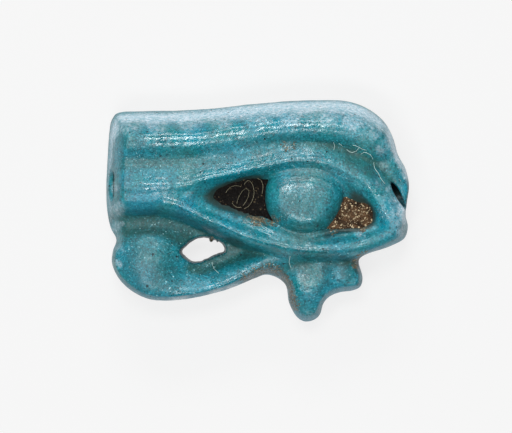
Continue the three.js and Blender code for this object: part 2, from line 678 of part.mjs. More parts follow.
// Soil packed between the pellet and one corner of the eye, level on top.
// The side is -1 for the rear corner and 1 for the front corner.
function cornerFillSolid(side, fillDepth) {
  const level = SOCKET_FLOOR + fillDepth;
  const middle = pupilShares.reduce((sum, [along]) => sum + along, 0) / pupilShares.length;
  const middleX = (middle - 0.5) * AMULET_LENGTH;
  const inFill = (x, y) => {
    const besidePupil = -pupilOutline(x, y).depth - BED_CLEARANCE;
    return depthOnBed(Math.min(side * (x - middleX), besidePupil), level, x, y);
  };
  return slab(inFill, () => level, bedHeight, frontHeight);
}

const amulet = new THREE.Group();
const rearSoil = cornerFillSolid(-1, REAR_FILL_DEPTH);
const frontSoil = cornerFillSolid(1, FRONT_FILL_DEPTH);
amulet.add(
  meshOf('faience_body', bodySolid(), GLAZE_COLOUR, glazeRoughnessShare),
  meshOf('pupil', pupilSolid(), PUPIL_COLOUR, pupilRoughnessShare),
  meshOf('rear_corner_fill', rearSoil, REAR_SOIL_COLOUR, soilRoughnessShare),
  meshOf('front_corner_fill', frontSoil, FRONT_SOIL_COLOUR, soilRoughnessShare),
);

export default amulet;
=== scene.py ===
"""Wedjat eye amulet of turquoise faience, lying on its flat back and seen from straight above.

Lengths are worked out in millimetres and go to the scene in metres.
"""

import bpy
import numpy as np
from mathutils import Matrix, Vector

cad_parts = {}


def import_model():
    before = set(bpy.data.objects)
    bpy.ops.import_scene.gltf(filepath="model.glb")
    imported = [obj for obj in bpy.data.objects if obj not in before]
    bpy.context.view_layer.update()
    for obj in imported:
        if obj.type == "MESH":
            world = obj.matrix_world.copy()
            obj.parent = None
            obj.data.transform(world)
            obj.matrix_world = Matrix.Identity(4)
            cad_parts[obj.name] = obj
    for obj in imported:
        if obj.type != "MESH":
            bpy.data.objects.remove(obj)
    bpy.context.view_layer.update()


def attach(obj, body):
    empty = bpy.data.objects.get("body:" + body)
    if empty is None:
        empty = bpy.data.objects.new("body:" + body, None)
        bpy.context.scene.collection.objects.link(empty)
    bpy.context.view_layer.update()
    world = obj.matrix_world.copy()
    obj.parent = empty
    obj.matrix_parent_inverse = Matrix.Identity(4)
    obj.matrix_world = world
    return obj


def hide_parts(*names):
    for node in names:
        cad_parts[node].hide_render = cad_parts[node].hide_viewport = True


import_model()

MM = 0.001

# The photograph's frame, and the amulet in it
FRAME_WIDTH = 512
FRAME_HEIGHT = 433
PX_PER_MM = 15
MIDDLE_PX = (257.5, 210.75)
LEFT_PX = 106
BASE_PX = 321.8
LENGTH_PX = 303
HEIGHT_PX = 221.8

# Overall size
AMULET_LENGTH = 20.2
AMULET_HEIGHT = 14.8

# Stringing bore behind the eye
BORE_RADIUS = 0.93
BORE_BACK_WALL = 1.75
BORE_ROOF = 0.38
BORE_ENDS = (0.612, 0.568)
BORE_LIP = 0.35
FRONT_LIP = 0.06
FRONT_LIP_RANGE = (8.2, 9.0)
MOUTH_SILL = 2.3
MOUTH_WALL = (-0.05, 0.07)

# Edges
BACK_ROUND = 0.35
RIM_HEIGHT = 0.4
GAP_RIM_HEIGHT = 1.6
GAP_EDGE_WIDTH = 0.25
BEVEL_BLEND = 0.6
EDGE_ROUND = 0.15

# Socket and what lies in it
SOCKET_FLOOR = BORE_BACK_WALL + 2 * BORE_RADIUS + BORE_ROOF
LID_RIM = 5.35
LID_ROUND = 0.5
PUPIL_RISE = 1.2
PUPIL_ROUND = 1.1
PUPIL_CROWN = 0.3
PUPIL_MIDDLE = 2.2
PUPIL_FALL = 2
COLLAR = 0.7
TOP_COLLAR = 0.5
TOP_COLLAR_RANGE = (0.6, 2.2)
COLLAR_LIFT_RANGE = (0.1, 0.6)
COLLAR_REACH = (0.5, 1.0)
COLLAR_SINK = 0.02
SKIRT = 0.3
SKIRT_SINK = 0.15
BED_DEPTH = 0.08
REAR_FILL_DEPTH = 0.4
FRONT_FILL_DEPTH = 0.55
WEB_THICKNESS = 2.8
BROW_BLEND = 1.4
FACE_BLEND = 0.9
RELIEF_SOFTNESS = 0.1
BROAD = 1.0

# Uneven surfaces: layers of height, size and seed
BODY_LUMPS = ((0.026, 1.3, 1), (0.012, 0.5, 2))
RAGGED_LUMPS = ((0.5, 0.9, 5), (0.35, 0.35, 6))
GAP_LUMPS = ((0.045, 0.35, 31), (0.035, 0.14, 32))
REAR_LUMPS = ((0.1, 0.7, 11), (0.06, 0.25, 12), (0.035, 0.13, 13))
FRONT_LUMPS = ((0.1, 0.7, 21), (0.06, 0.25, 22), (0.035, 0.13, 23))
LUMP_FADE = 0.6
LATTICE = 64

# Grids
MAP_STEP = 0.05
BODY_STEP = 0.1
PUPIL_STEP = 0.08
FILL_STEP = 0.05
MAP_MARGIN = 0.4
BODY_MARGIN = 0.3
BODY_TOP = 5.9

# Boxes of the pieces in the socket
PUPIL_BOX = ((0.2, -2.4, 3.7), (6.4, 3.4, 5.8))
REAR_BOX = ((-4.6, -2.0, 3.8), (3.4, 3.2, 4.8))
FRONT_BOX = ((3.0, -2.2, 3.8), (8.6, 2.4, 5.2))

# Slope of the front fill towards the brow, and its drop towards the lower lid
FRONT_SLOPE = 0.25
FRONT_SLOPE_START = 0.2
FRONT_DROP = 0.6
FRONT_DROP_RANGE = (1.15, 1.4)

# Dust fibres: radius, how far the ends stand up in radii, and how far the middle arches up
FIBRE_RADIUS = 0.017
FIBRE_STAND = 0.6
FIBRE_ARCH = 0.08

# How far ragged lumps shift the edges of patches
SHADE_SHIFT = 0.2
FILM_SHIFT = 0.3
SOIL_SHIFT = 0.5
GLOSS_SPREAD = 1.7

# Parts of the plan that the looks depend on
LOW_GROUND = 4.1
REAR_BAND = -8.2
SOCKET_MIDDLE = 2.5
BORE_MOUTH = 9.0

# Light and camera
PALE_TONE = 0.905
FLOOR_TONE = 0.75
FLOOR_GLOW = 0.88
FLOOR_SIZE = 0.6
FLOOR_DROP = 0.0001
ROOM_LIGHT = 0.14
CAMERA_DISTANCE = 0.6
CAMERA_HEIGHT = 0.6005
SENSOR_WIDTH = 36
LAMPS = (
    ("upper_softbox", (-0.03, 0.14, 0.44), (0.16, 0.09), 1.2),
    ("lower_softbox", (-0.05, -0.18, 0.42), (0.2, 0.06), 1.0),
    ("side_softbox", (-0.18, 0.0, 0.44), (0.07, 0.05), 0.28),
    ("low_softbox", (-0.02, 0.37, 0.24), (0.24, 0.08), 0.8),
)

# Outline: share of the length, share of the height, width of the edge, fullness of the edge
OUTLINE = (
    (0.01, 0.86, 0.9, 1.3), (0.021, 0.919, 0.9, 1.4), (0.05, 0.946, 1, 1.5),
    (0.145, 0.95, 1.1, 1.6), (0.31, 0.957, 1.1, 1.6), (0.475, 0.98, 0.9, 1.7),
    (0.591, 0.993, 0.9, 1.7), (0.706, 1, 1, 1.7), (0.789, 0.995, 1, 1.7), (0.858, 0.966, 0.9, 1.7),
    (0.917, 0.905, 0.8, 1.8), (0.947, 0.833, 0.55, 2), (0.964, 0.752, 0.45, 2),
    (0.99, 0.684, 0.3, 2), (1, 0.612, 0.15, 2), (0.993, 0.531, 0.15, 2), (0.989, 0.477, 0.3, 2),
    (0.997, 0.423, 0.6, 1.6), (0.982, 0.371, 0.45, 1.8), (0.931, 0.335, 0.35, 2),
    (0.871, 0.308, 0.25, 2), (0.842, 0.288, 0.25, 2), (0.836, 0.264, 0.3, 2),
    (0.848, 0.203, 0.35, 2), (0.84, 0.156, 0.4, 2), (0.812, 0.139, 0.45, 2),
    (0.772, 0.131, 0.45, 2), (0.739, 0.113, 0.4, 2), (0.719, 0.083, 0.4, 2), (0.701, 0.023, 0.5, 2),
    (0.662, 0, 0.7, 2), (0.628, 0.023, 0.6, 2), (0.603, 0.085, 0.6, 2), (0.59, 0.17, 0.6, 2),
    (0.537, 0.211, 0.6, 2), (0.492, 0.195, 0.5, 2), (0.409, 0.148, 0.4, 2), (0.31, 0.112, 0.35, 2),
    (0.211, 0.094, 0.35, 2), (0.129, 0.107, 0.35, 2), (0.059, 0.166, 0.35, 2),
    (0.023, 0.243, 0.3, 2), (0.021, 0.315, 0.35, 2), (0.033, 0.369, 0.6, 1.8),
    (0.015, 0.423, 0.8, 1.4), (0.003, 0.504, 0.82, 1.1), (0, 0.594, 0.82, 1.05),
    (0.004, 0.729, 0.82, 1.15),
)
GAP = (
    (0.253, 0.312), (0.261, 0.335), (0.277, 0.358), (0.305, 0.374), (0.332, 0.376), (0.365, 0.365),
    (0.384, 0.346), (0.39, 0.32), (0.365, 0.305), (0.338, 0.29), (0.305, 0.273), (0.277, 0.279),
)
# Crest line round the inside of the eye, and the line where its slope reaches the floor
SOCKET = (
    (0.262, 0.57, 0.98), (0.285, 0.622, 1), (0.337, 0.65, 1), (0.4, 0.668, 1), (0.475, 0.689, 1),
    (0.545, 0.71, 1.01), (0.62, 0.728, 1.01), (0.7, 0.722, 1.01), (0.768, 0.692, 1),
    (0.828, 0.643, 1), (0.868, 0.587, 1), (0.898, 0.525, 1), (0.912, 0.468, 1),
    (0.895, 0.415, 0.99), (0.838, 0.385, 0.98), (0.772, 0.378, 0.98), (0.706, 0.36, 0.98),
    (0.64, 0.345, 0.98), (0.574, 0.36, 0.98), (0.508, 0.4, 0.98), (0.43, 0.435, 0.98),
    (0.36, 0.47, 0.98), (0.3, 0.505, 0.98), (0.272, 0.535, 0.98),
)
FLOOR = (
    (0.386, 0.572), (0.416, 0.596), (0.459, 0.617), (0.502, 0.621), (0.558, 0.603), (0.607, 0.576),
    (0.657, 0.558), (0.713, 0.536), (0.766, 0.518), (0.809, 0.511), (0.842, 0.506), (0.856, 0.482),
    (0.842, 0.459), (0.805, 0.452), (0.759, 0.445), (0.706, 0.459), (0.657, 0.468), (0.607, 0.477),
    (0.558, 0.486), (0.498, 0.518), (0.442, 0.536), (0.409, 0.554),
)
PUPIL = (
    (0.523, 0.549), (0.526, 0.612), (0.545, 0.653), (0.591, 0.68), (0.657, 0.689), (0.716, 0.675),
    (0.762, 0.635), (0.784, 0.576), (0.776, 0.513), (0.749, 0.445), (0.71, 0.405), (0.657, 0.391),
    (0.607, 0.405), (0.561, 0.441), (0.533, 0.491),
)

# Shallow dents: share of the length, share of the height, radius, depth
DENTS = ((0.667, 0.212, 1.05, 0.2), (0.625, 0.255, 0.6, 0.08), (0.74, 0.225, 0.7, 0.06))

# Crumbs on the rim of the gap: place in the photograph's frame, radius, size
GAP_CRUMBS = (
    (211, 241, 0.22, 0.3), (205, 240, 0.15, 0.1), (217, 243, 0.15, 0.14), (222, 248, 0.12, 0.08),
)

# Where the bore's roof has gone at its front mouth
MOUTH = (
    (0.938, 0.626), (0.948, 0.618), (0.96, 0.598), (0.971, 0.57), (0.98, 0.54), (0.987, 0.503),
    (0.977, 0.52), (0.962, 0.548), (0.946, 0.588),
)

# Ridges: share of the length, share of the height, share of the half width, share of the crest
BROW = (
    (-0.03, 0.812, 1, 0.985), (0.145, 0.812, 1, 0.985), (0.31, 0.819, 1, 0.985),
    (0.442, 0.84, 0.97, 0.99), (0.574, 0.868, 0.93, 1), (0.706, 0.877, 0.95, 1),
    (0.799, 0.86, 0.98, 0.98), (0.868, 0.82, 0.98, 0.95), (0.905, 0.77, 0.87, 0.88),
    (0.92, 0.725, 0.75, 0.78),
)
GROOVE = (
    (-0.03, 0.722, 1, 1.1), (0.053, 0.722, 1, 1.05), (0.145, 0.722, 1, 1), (0.277, 0.727, 1, 0.99),
    (0.4, 0.762, 0.8, 0.99), (0.5, 0.792, 0.8, 1.01), (0.6, 0.806, 0.8, 1.02), (0.72, 0.8, 0.9, 1),
    (0.81, 0.762, 1, 0.97), (0.865, 0.71, 0.9, 0.94), (0.9, 0.65, 0.8, 0.86),
)
BAR = (
    (-0.03, 0.563, 1, 0.985), (0.112, 0.563, 1, 0.99), (0.211, 0.562, 0.92, 0.99),
    (0.267, 0.556, 0.75, 0.98),
)
SHOULDER = (
    (-0.03, 0.637, 1, 0.99), (0.145, 0.637, 1, 1), (0.244, 0.642, 1, 0.985),
    (0.327, 0.668, 0.9, 0.96), (0.409, 0.702, 0.8, 0.945), (0.508, 0.735, 0.7, 0.945),
    (0.607, 0.748, 0.7, 0.95),
)
FOLD = (
    (0.238, 0.645, 1.1, 0.88), (0.3, 0.675, 1.1, 0.885), (0.35, 0.697, 1, 0.9),
    (0.403, 0.72, 1, 0.915), (0.459, 0.738, 1, 0.935), (0.531, 0.752, 1, 0.955),
    (0.601, 0.755, 1, 0.96),
)
UPPER_LID = (
    (-0.03, 0.612, 0.95, 0.97), (0.145, 0.612, 0.95, 0.975), (0.254, 0.616, 0.9, 0.975),
    (0.31, 0.636, 0.9, 0.98), (0.376, 0.656, 0.95, 0.98), (0.449, 0.673, 1, 0.985),
    (0.515, 0.698, 1, 0.99), (0.624, 0.728, 1.1, 1), (0.706, 0.727, 1.1, 0.99),
    (0.789, 0.69, 1.1, 0.98), (0.855, 0.635, 1.1, 0.97), (0.894, 0.565, 1.15, 0.97),
    (0.922, 0.5, 1.2, 0.97), (0.944, 0.441, 1.2, 0.96),
)
LOWER_LID = (
    (0.2, 0.545, 1.1, 0.97), (0.265, 0.518, 1, 0.98), (0.32, 0.476, 0.85, 0.98),
    (0.388, 0.437, 0.85, 0.97), (0.455, 0.397, 0.88, 0.96), (0.541, 0.361, 0.9, 0.95),
    (0.64, 0.333, 0.92, 0.95), (0.74, 0.332, 0.96, 0.95), (0.838, 0.346, 1.05, 0.96),
    (0.921, 0.388, 1.15, 0.96), (0.96, 0.415, 1.05, 0.95),
)
LOBE = ((0.13, 0.265, 1, 1), (0.155, 0.268, 1, 1))
TAIL = (
    (0.139, 0.175, 1.3, 0.97), (0.238, 0.141, 1.2, 0.97), (0.31, 0.148, 1.05, 0.96),
    (0.36, 0.161, 1, 0.96), (0.409, 0.188, 0.95, 0.97), (0.459, 0.227, 0.9, 0.98),
    (0.498, 0.256, 0.9, 0.99), (0.571, 0.288, 0.9, 1), (0.64, 0.301, 0.9, 1),
)
DROP = (
    (0.67, 0.288, 1.3, 0.93), (0.673, 0.234, 1.2, 0.985), (0.673, 0.17, 1.05, 1),
    (0.667, 0.112, 0.9, 0.95), (0.66, 0.049, 0.75, 0.82),
)
SPUR = (
    (0.713, 0.27, 1.3, 0.97), (0.756, 0.243, 1.2, 0.98), (0.792, 0.211, 1.05, 0.97),
    (0.815, 0.188, 0.95, 0.93),
)
SHELF = (
    (0.89, 0.78, 1, 1), (0.938, 0.7, 1.05, 1.03), (0.97, 0.6, 1.15, 1.07), (0.968, 0.51, 1, 1.04),
)

# Ridges in the order they join: line, half width, crest, foot, form of the flank, blend
LOW_RIDGES = (
    (LOBE, 3.4, 4.25, 2.2, 1.2, 1.2), (TAIL, 1.5, 4.1, 1.5, 0.75, 1.0),
    (DROP, 1.7, 4.1, 2.6, 0.5, 0.8), (SPUR, 1.45, 4.0, 2.6, 0.6, 0.8),
    (SHELF, 1.5, 3.7, 1.0, 0.6, 0.8),
)
LID_RIDGES = (
    (BAR, 1.2, 5.25, 2.0, 0.28, 0), (SHOULDER, 1.55, 5.2, 4.2, 1.2, 0.4),
    (UPPER_LID, 1.15, 5.5, 2.5, 0.5, 0.5), (FOLD, 0.75, 5.12, 4.2, 1.0, 0.5),
    (LOWER_LID, 0.98, 5.45, 2.0, 0.42, 0.5),
)
BROW_RIDGES = ((BROW, 1.9, 5.6, 3.6, 0.9, 0), (GROOVE, 1.5, 4.35, 3.5, 1.0, 0.8))

# Patches, each with x and y in the photograph's frame, radius there and strength

# Bluer glaze
DEEP_SPOTS = (
    (150, 128, 12, 0.7), (127, 181, 10, 1), (160, 194, 16, 1), (143, 203, 24, 0.9),
    (185, 208, 14, 0.8), (128, 258, 16, 0.8), (142, 276, 20, 1), (132, 268, 16, 0.8),
    (345, 130, 16, 0.3), (395, 205, 8, 0.3), (285, 118, 14, 0.5), (388, 232, 18, 0.4),
    (372, 218, 10, 0.3), (308, 300, 14, 0.4), (190, 200, 10, 0.6), (200, 128, 10, 0.6),
    (235, 116, 9, 0.7), (172, 122, 7, 0.6), (255, 132, 9, 0.5), (330, 112, 8, 0.5),
)
# Crusts of soil
SOIL_SPOTS = (
    (284, 147, 8, 0.36), (293, 147, 7, 0.28), (260, 217, 15, 0.5), (273, 220, 10, 0.4),
    (276, 268, 6, 0.4), (286, 284, 5, 0.4), (355, 266, 6, 0.6), (357, 259, 6, 0.6),
    (363, 256, 5, 0.5), (262, 272, 6, 0.4), (334, 229, 7, 0.5), (364, 227, 6, 0.5),
    (210, 242, 6, 0.9), (203, 244, 4, 0.6),
)
# The arch between tail and drop, which holds a strip of soil: x and y there
ARCH = ((246, 279), (257, 272), (270, 268), (280, 273), (286, 283), (290, 294), (294, 306))
# Films of fine soil that darken the glaze, with painted shade beneath the lower lid and on its inner
# slope
FILM_AND_SHADE_SPOTS = (
    (354, 262, 9, 0.5), (357, 270, 8, 0.5), (300, 258, 18, 0.4), (325, 259, 18, 0.4),
    (342, 262, 14, 0.5), (232, 246, 18, 0.5), (250, 254, 14, 0.4), (150, 222, 30, 0.35),
    (185, 225, 24, 0.35), (210, 232, 16, 0.4), (288, 147, 18, 0.4), (125, 216, 12, 0.3),
    (330, 232, 10, 0.6), (236, 209, 14, 0.5), (250, 216, 12, 0.5), (266, 224, 10, 0.4),
    (368, 172, 10, 0.4), (352, 156, 14, 0.4),
)
# Weathered pale coat on the upper edge and the ends, partly painted sheen, and painted highlights on
# crests
PALE_AND_HIGHLIGHT_SPOTS = (
    (385, 166, 12, 0.2), (389, 188, 5, 0.4), (395, 199, 5, 0.5), (402, 211, 5, 0.6),
    (393, 156, 8, 0.4), (391, 136, 9, 0.5), (370, 112, 12, 0.4), (400, 232, 9, 0.4),
    (128, 126, 16, 0.4), (158, 124, 18, 0.4), (190, 122, 18, 0.35), (222, 120, 18, 0.4),
    (255, 116, 18, 0.4), (290, 114, 20, 0.45), (325, 114, 22, 0.5), (352, 120, 20, 0.5),
    (370, 132, 16, 0.4), (382, 148, 12, 0.35), (115, 188, 7, 0.45), (116, 208, 7, 0.4),
    (118, 226, 8, 0.4), (120, 250, 9, 0.3), (300, 112, 16, 0.4), (262, 118, 10, 0.5),
    (120, 210, 9, 0.3), (404, 226, 7, 0.4), (352, 257, 8, 0.3), (380, 186, 14, 0.15),
    (388, 200, 14, 0.3), (394, 213, 14, 0.35), (388, 170, 12, 0.2), (400, 224, 12, 0.3),
    (138, 125, 14, 0.3), (200, 122, 10, 0.25), (266, 120, 10, 0.3), (312, 119, 12, 0.35),
    (305, 161, 14, 0.2), (290, 160, 12, 0.15), (378, 186, 10, 0.25), (382, 212, 10, 0.2),
    (248, 230, 10, 0.25), (360, 236, 9, 0.35), (304, 288, 8, 0.25), (118, 264, 8, 0.4),
    (230, 276, 10, 0.2), (245, 272, 10, 0.25), (309, 315, 9, 0.25),
)
# Where the glaze is still glossy
GLOSS_SPOTS = (
    (152, 136, 8, 0.8), (163, 138, 9, 0.9), (176, 138, 9, 0.9), (190, 137, 9, 1),
    (201, 136, 8, 0.8), (198, 146, 7, 0.8), (207, 145, 7, 0.6), (222, 133, 8, 0.8),
    (236, 131, 9, 0.8), (262, 126, 9, 0.9), (274, 124, 9, 0.8), (292, 123, 9, 0.8),
    (308, 122, 9, 1), (322, 124, 8, 0.7), (340, 127, 8, 0.5), (152, 184, 8, 1), (160, 184, 8, 1),
    (167, 199, 8, 0.8), (176, 202, 8, 0.8), (186, 182, 7, 0.7), (204, 176, 7, 0.9),
    (214, 174, 7, 0.8), (226, 172, 8, 0.9), (240, 170, 8, 0.9), (254, 165, 8, 0.7),
    (268, 161, 8, 0.8), (290, 158, 10, 0.6), (305, 158, 10, 0.8), (322, 160, 9, 0.5),
    (371, 191, 7, 0.9), (382, 214, 7, 0.9), (385, 221, 6, 0.7), (183, 201, 6, 0.7),
    (193, 212, 6, 0.8), (207, 219, 6, 0.8), (225, 226, 6, 0.8), (240, 233, 6, 0.7),
    (262, 240, 7, 0.8), (280, 245, 7, 0.7), (302, 249, 8, 0.8), (320, 250, 8, 0.5),
    (247, 228, 8, 0.9), (268, 231, 7, 0.9), (295, 236, 7, 0.5), (360, 238, 7, 0.9),
    (148, 265, 9, 0.5), (166, 246, 9, 0.5), (179, 294, 8, 0.8), (215, 287, 7, 0.8),
    (230, 281, 7, 0.8), (245, 272, 7, 0.8), (255, 266, 6, 0.6), (303, 285, 10, 0.8),
    (312, 268, 9, 0.6), (324, 266, 8, 0.5), (284, 190, 8, 0.7), (294, 187, 9, 0.9),
    (306, 185, 7, 0.6), (298, 217, 8, 0.9), (306, 215, 7, 0.8),
)
# Painted shade in deep teal, in hollows and creases, beneath the lids, and on the pupil and the
# lobe, partly where the glaze lies thick
SHADE_SPOTS = (
    (300, 233, 18, 0.8), (318, 231, 16, 0.8), (286, 229, 10, 0.5), (334, 220, 14, 0.6),
    (344, 204, 10, 0.5), (300, 170, 24, 0.4), (325, 176, 20, 0.4), (272, 168, 14, 0.3),
    (150, 262, 44, 0.55), (172, 280, 20, 0.4), (218, 208, 14, 0.4), (195, 197, 10, 0.3),
    (320, 264, 26, 0.5), (346, 270, 14, 0.5), (232, 248, 16, 0.5), (283, 285, 10, 0.8),
    (352, 158, 20, 0.5), (368, 170, 12, 0.5), (266, 147, 22, 0.4), (285, 148, 16, 0.3),
    (190, 163, 18, 0.5), (220, 156, 16, 0.3), (280, 215, 14, 0.5), (284, 240, 12, 0.4),
    (246, 224, 8, 0.3), (108, 190, 6, 0.5), (110, 218, 7, 0.6), (384, 164, 10, 0.4),
    (132, 146, 12, 0.4), (128, 181, 8, 0.5), (178, 255, 10, 0.4), (270, 258, 12, 0.5),
    (300, 203, 26, 0.55), (285, 198, 10, 0.3), (322, 196, 14, 0.4), (308, 276, 12, 0.3),
    (148, 262, 14, 0.55), (145, 278, 14, 0.4), (313, 264, 12, 0.6), (165, 193, 8, 0.4),
    (300, 171, 18, 0.4), (318, 172, 14, 0.4), (230, 250, 10, 0.5), (187, 163, 14, 0.4),
    (285, 147, 18, 0.3), (348, 232, 8, 0.3), (185, 288, 10, 0.3),
)
# Fine dust
DUST_SPOTS = (
    (360, 158, 26, 0.8), (392, 174, 18, 0.8), (170, 172, 40, 0.4), (310, 278, 18, 0.7),
    (240, 250, 26, 0.4), (168, 245, 22, 0.4), (170, 200, 20, 0.4), (310, 175, 18, 0.5),
)

# Pale dust fibres: places in the photograph's frame along each
REAR_FIBRES = (
    ((237, 204), (239, 197), (243, 191), (247, 189), (249, 193), (247, 200), (243, 206)),
    ((244, 185), (248, 181), (252, 184), (254, 191), (253, 199), (249, 206), (244, 209)),
    ((226, 193), (230, 188), (236, 186), (241, 187)),
    ((256, 178), (261, 181), (263, 187), (262, 194)),
    ((232, 203), (236, 207), (242, 208)),
)
BODY_FIBRES = (
    ((373, 163), (374, 169), (377, 173), (380, 179), (384, 184)),
    ((346, 150), (350, 153), (355, 152), (358, 149)),
    ((352, 146), (356, 147), (362, 150), (366, 151)),
    ((360, 155), (364, 153), (370, 156), (372, 160)),
    ((333, 143), (334, 147), (333, 151)),
    ((338, 144), (342, 147)),
    ((212, 262), (214, 268), (219, 273)),
    ((290, 256), (289, 262), (291, 268)),
)


# Curves and distances on the plan of the amulet
def px(x, y):
    """Millimetres on the plan from a place in the photograph's frame."""
    return (x - MIDDLE_PX[0]) / PX_PER_MM, (MIDDLE_PX[1] - y) / PX_PER_MM


def placed(along, up):
    """Millimetres on the plan from shares of the length and the height."""
    return (along - 0.5) * AMULET_LENGTH, (up - 0.5) * AMULET_HEIGHT


def px_share(x, y):
    """Shares of the length and the height from a place in the photograph's frame."""
    return (x - LEFT_PX) / LENGTH_PX, (BASE_PX - y) / HEIGHT_PX


def smoothed(rows, closed):
    """A smooth curve through rows of shares, placed in millimetres."""
    p = np.array(rows, float)
    p[:, 0], p[:, 1] = placed(p[:, 0], p[:, 1])
    before, after = (p[-1:], p[:2]) if closed else (p[:1], p[-1:])
    p = np.concatenate([before, p, after])
    curve = []
    for a, b, c, d in zip(p, p[1:], p[2:], p[3:]):
        for t in np.arange(6) / 6:
            slope_in, slope_out = (c - a) / 2, (d - b) / 2
            curve.append(
                b + slope_in * t + (3 * (c - b) - 2 * slope_in - slope_out) * t**2
                + (2 * (b - c) + slope_in + slope_out) * t**3
            )
    if not closed:
        curve.append(p[-1])
    return np.array(curve)


def apart(x, y, place):
    """Distance on the plan to a place."""
    return np.hypot(x - place[0], y - place[1])


def nearest(x, y, curve, closed):
    """Distance to a curve and its further values at the nearest place."""
    best = np.full(x.shape, 1e9)
    values = np.zeros(x.shape + (max(curve.shape[1] - 2, 1),))
    ends = np.roll(curve, -1, axis=0) if closed else curve[1:]
    for a, b in zip(curve, ends):
        ab = b[:2] - a[:2]
        t = np.clip(((x - a[0]) * ab[0] + (y - a[1]) * ab[1]) / max(ab @ ab, 1e-12), 0, 1)
        square = (x - a[0] - t * ab[0]) ** 2 + (y - a[1] - t * ab[1]) ** 2
        near = square < best
        best = np.where(near, square, best)
        for k in range(curve.shape[1] - 2):
            values[..., k] = np.where(near, a[k + 2] + t * (b[k + 2] - a[k + 2]), values[..., k])
    return np.sqrt(best), values


def depth_in(x, y, rows):
    """How deep a point lies inside a closed outline, negative outside, and the share there."""
    curve = smoothed(rows, True)
    distance, values = nearest(x, y, curve, True)
    inside = np.zeros(x.shape, bool)
    for a, b in zip(curve, np.roll(curve, -1, axis=0)):
        crosses = (a[1] > y) != (b[1] > y)
        inside ^= crosses & (x < (b[0] - a[0]) * (y - a[1]) / (b[1] - a[1] + 1e-15) + a[0])
    return (np.where(inside, distance, -distance), *np.moveaxis(values, -1, 0))


def ridge(x, y, rows, half_width, crest, foot, form):
    """Height of a ridge, which sinks away steadily beyond its foot."""
    distance, values = nearest(x, y, smoothed(rows, False), False)
    reach = distance / (values[..., 0] * half_width)
    top = (values[..., 1] * crest - foot) * np.maximum(1 - reach**2, 0) ** form
    return foot + top - np.maximum(reach - 1, 0) * half_width


def soft_max(a, b, blend):
    """The greater of two values, with a round where they are within the blend."""
    overlap = np.maximum(blend - np.abs(a - b), 0) / blend
    return np.maximum(a, b) + overlap**2 * blend / 4


def soft_min(a, b, blend):
    return -soft_max(-a, -b, blend)


def edge_rise(share, full):
    """Share of the height at a share of the edge's width; full is 1 for a bevel, 2 for a round."""
    bevel = soft_min(np.maximum(share, 0), 1.0, BEVEL_BLEND)
    left = 1 - np.clip(share, 0, 1)
    return bevel + (np.sqrt(1 - left**2) - bevel) * np.clip(full - 1, 0, 1)


def smoothstep(a, low, high):
    t = np.clip((a - low) / (high - low), 0, 1)
    return t * t * (3 - 2 * t)


def fade(a, low, high, share=1):
    """Falls from 1 at low by a share at high."""
    return 1 - share * smoothstep(a, low, high)


def rise(a, low, high, least):
    """Rises from the least value at low to 1 at high."""
    return least + (1 - least) * smoothstep(a, low, high)


def blurred(a, sigma):
    """A map blurred by sigma steps, its edges held."""
    reach = int(3 * sigma) + 1
    kernel = np.exp(-0.5 * (np.arange(-reach, reach + 1) / sigma) ** 2)
    kernel /= kernel.sum()
    for axis in (0, 1):
        wide = np.pad(a, [(reach, reach) if k == axis else (0, 0) for k in (0, 1)], mode="edge")
        a = sum(
            w * np.take(wide, np.arange(k, k + a.shape[axis]), axis=axis)
            for k, w in enumerate(kernel)
        )
    return a


CORNERS = [(i, j, k) for i in (0, 1) for j in (0, 1) for k in (0, 1)]


def lumps(points, size, seed):
    """Smooth seeded noise between -1 and 1 with lumps of about one size."""
    lattice = np.random.RandomState(seed).uniform(-1, 1, (LATTICE,) * 3)
    p = np.asarray(points) / size + 1000.5
    whole = np.floor(p).astype(int)
    t = p - whole
    t = t * t * (3 - 2 * t)
    total = 0
    for corner in CORNERS:
        at = (whole + corner) % LATTICE
        value = lattice[at[..., 0], at[..., 1], at[..., 2]]
        for axis in range(3):
            value = value * (t[..., axis] if corner[axis] else 1 - t[..., axis])
        total = total + value
    return total


def uneven(points, layers):
    """The sum of layers of lumps."""
    return sum(height * lumps(points, size, seed) for height, size, seed in layers)


# The relief
def joined(x, y, ridges, ground=None):
    """Height of ridges that blend into each other and into the ground."""
    height = ground
    for rows, half_width, crest, foot, form, blend in ridges:
        top = ridge(x, y, rows, half_width, crest, foot, form)
        height = top if height is None else soft_max(height, top, blend)
    return height


def relief(x, y):
    low = joined(x, y, LOW_RIDGES, np.full(x.shape, WEB_THICKNESS))
    high = soft_max(joined(x, y, BROW_RIDGES), joined(x, y, LID_RIDGES), BROW_BLEND)
    return soft_max(low, high, FACE_BLEND)


